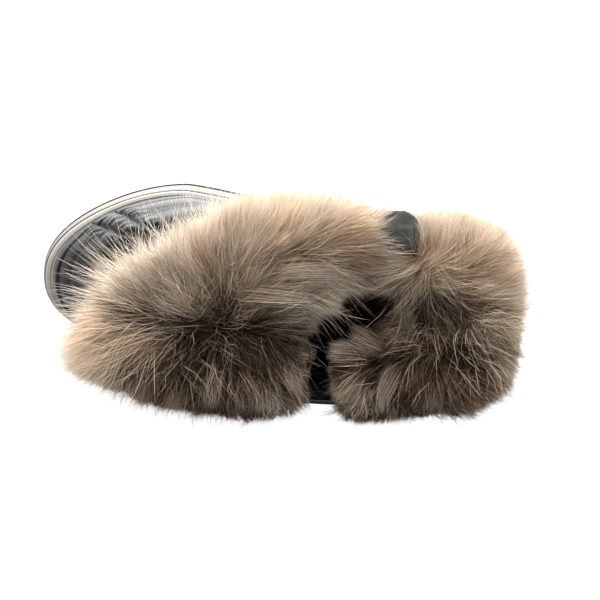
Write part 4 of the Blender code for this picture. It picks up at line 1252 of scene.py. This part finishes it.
def hair_mesh(name, slot, path, out, light, warmth, steps, width, rng):
    """Tapered ribbons along the paths, with the map that their colour is read from."""
    path = keep_near(path, rng)
    count, knots = path.shape[:2]
    tangent = unit(np.gradient(path, axis=1))
    roll = unit(out + 0.75 * rng.normal(0, 1, (count, 3)))[:, None]
    across = unit(np.cross(tangent, roll))
    taper = (1 - steps[:-1]) ** 0.6 * np.array((0.8, 1.0, 0.9)[:knots - 1])
    thick = width * rng.uniform(0.7, 1.25, (count, 1)) * taper[None]
    left = path[:, :-1] - across[:, :-1] * thick[..., None] / 2
    right = path[:, :-1] + across[:, :-1] * thick[..., None] / 2
    verts = np.concatenate([np.stack([left, right], 2).reshape(count, -1, 3),
                            path[:, -1:]], 1)
    per = verts.shape[1]
    quads = knots - 2
    pattern = [(2 * k, 2 * k + 1, 2 * k + 3, 2 * k + 2) for k in range(quads)]
    tip = (2 * quads, 2 * quads + 1, per - 1)
    base = np.arange(count)[:, None] * per
    loops = np.concatenate([base + np.array(q)[None] for q in pattern] + [base + np.array(tip)],
                           1)
    sizes = np.tile([4] * quads + [3], count)
    starts = np.concatenate([[0], np.cumsum(sizes)[:-1]])
    mesh = bpy.data.meshes.new(name)
    mesh.vertices.add(count * per)
    mesh.vertices.foreach_set("co", verts.reshape(-1).astype(np.float32))
    mesh.loops.add(loops.size)
    mesh.loops.foreach_set("vertex_index", loops.reshape(-1).astype(np.int32))
    mesh.polygons.add(len(sizes))
    mesh.polygons.foreach_set("loop_start", starts.astype(np.int32))
    mesh.polygons.foreach_set("loop_total", sizes.astype(np.int32))
    v = np.tile(np.concatenate([np.repeat(steps[:-1], 2), [1.0]]), (count, 1))
    u = (np.floor(light * (TONE_STEPS - 0.001)) + warmth) / TONE_STEPS
    u = np.repeat(u[:, None], per, 1)
    flat = loops.reshape(-1)
    uv = np.stack((u.reshape(-1)[flat], np.clip(v.reshape(-1)[flat], 0.002, 0.998)), -1)
    for layer in ("HairMap", "OFBake"):
        mesh.uv_layers.new(name=layer)
        mesh.uv_layers[layer].data.foreach_set("uv", uv.reshape(-1).astype(np.float32))
    mesh.update(calc_edges=True)
    show(name, mesh, FUR)


# Pieces of hair: cuff piece, kind, hairs, width in metres
HAIR = (
    ("front", "down", 22000, 0.00036), ("front", "soft", 56000, 0.00030),
    ("front", "guard", 22000, 0.00032), ("front", "stray", 3600, 0.00024),
    ("front", "lock", 170, 0.00028), ("back", "lock", 150, 0.00028),
    ("back", "down", 16000, 0.00036), ("back", "soft", 40000, 0.00030),
    ("back", "guard", 15000, 0.00032), ("back", "stray", 2600, 0.00024),
)


def make_fur():
    for name in SPANS:
        make_ground(name)
    for number, (name, kind, count, width) in enumerate(HAIR):
        rng = np.random.default_rng(100 + number)
        grown = grow(name, count, rng, kind)
        hair_mesh(f"fur_{name}_{kind}", f"fur_cuff_{name}", *grown, width, rng)


# Studio


# Lights: name, place, aim, size, watts, colour
LIGHTS = (
    ("key", (-0.15, 1.05, 0.95), (0, 0, 0.15), (1.0, 0.7), 14, (1.0, 0.985, 0.96)),
    ("side", (-0.26, 1.00, 0.40), (-0.03, 0.03, 0.05), (0.36, 0.30), 6, (1, 1, 1)),
    ("glow", (0.05, 0.52, 0.004), (0.05, 0.40, 0.30), (1.0, 0.5), 3, (1, 1, 1)),
    ("fill", (-0.8, -1.0, 0.9), (0, 0, 0.1), (0.7, 0.5), 4, (0.98, 0.98, 1.0)),
    ("rear", (1.2, 0.1, 0.8), (0, 0, 0.1), (0.8, 0.6), 5, (1, 1, 1)),
)


def sheet(name, look, size, at, glow, **more):
    """A level sheet of bright paper."""
    bpy.ops.mesh.primitive_plane_add(size=size, location=at)
    made = bpy.context.object
    made.name = name
    made.data.materials.append(material(look, (0.60, 0.60, 0.60), 0.9, **more,
                                        Emission_Color=(1, 1, 1, 1), Emission_Strength=glow))
    return made


def make_studio():
    floor = sheet("floor", "white_paper", 8, (0, 0, -0.0002), 0.78, Specular_IOR_Level=0.1)
    bounce = sheet("bounce", "bright_paper", 1, (-0.095, 0.130, -0.0001), 4.4)
    bounce.scale = (0.24, 0.12, 1)
    for name, at, aim, size, power, colour in LIGHTS:
        data = bpy.data.lights.new(name, "AREA")
        data.shape = "RECTANGLE"
        data.size, data.size_y = size
        data.energy = power
        data.color = colour
        light = bpy.data.objects.new(name, data)
        light.location = at
        light.rotation_euler = (Vector(aim) - Vector(at)).to_track_quat("-Z", "Y").to_euler()
        bpy.context.scene.collection.objects.link(light)
    world = bpy.context.scene.world or bpy.data.worlds.new("studio")
    bpy.context.scene.world = world
    world.use_nodes = True
    world.node_tree.nodes["Background"].inputs[0].default_value = (1, 1, 1, 1)
    world.node_tree.nodes["Background"].inputs[1].default_value = 0.22
    scene = bpy.context.scene
    scene.view_settings.view_transform = "Standard"
    scene.view_settings.look = "None"
    scene.view_settings.exposure = 0.0


FIELD_OF_VIEW = 36.5


def make_camera():
    """The camera at the eye, looking almost straight down with the toe to the left."""
    data = bpy.data.cameras.new("camera")
    data.sensor_width = 36.0
    data.angle = math.radians(FIELD_OF_VIEW)
    data.clip_start, data.clip_end = 0.01, 20
    camera = bpy.data.objects.new("camera", data)
    bpy.context.scene.collection.objects.link(camera)
    at, aim = Vector(EYE), Vector(EYE_AIM)
    back = (at - aim).normalized()
    right = Vector((0, 1, 0)).cross(back).normalized()
    upward = back.cross(right)
    camera.matrix_world = Matrix((
        (right.x, upward.x, back.x, at.x), (right.y, upward.y, back.y, at.y),
        (right.z, upward.z, back.z, at.z), (0, 0, 0, 1)))
    bpy.context.scene.camera = camera


make_sole()
make_upper()
make_stitches()
make_tab()
make_fur()
make_studio()
make_camera()
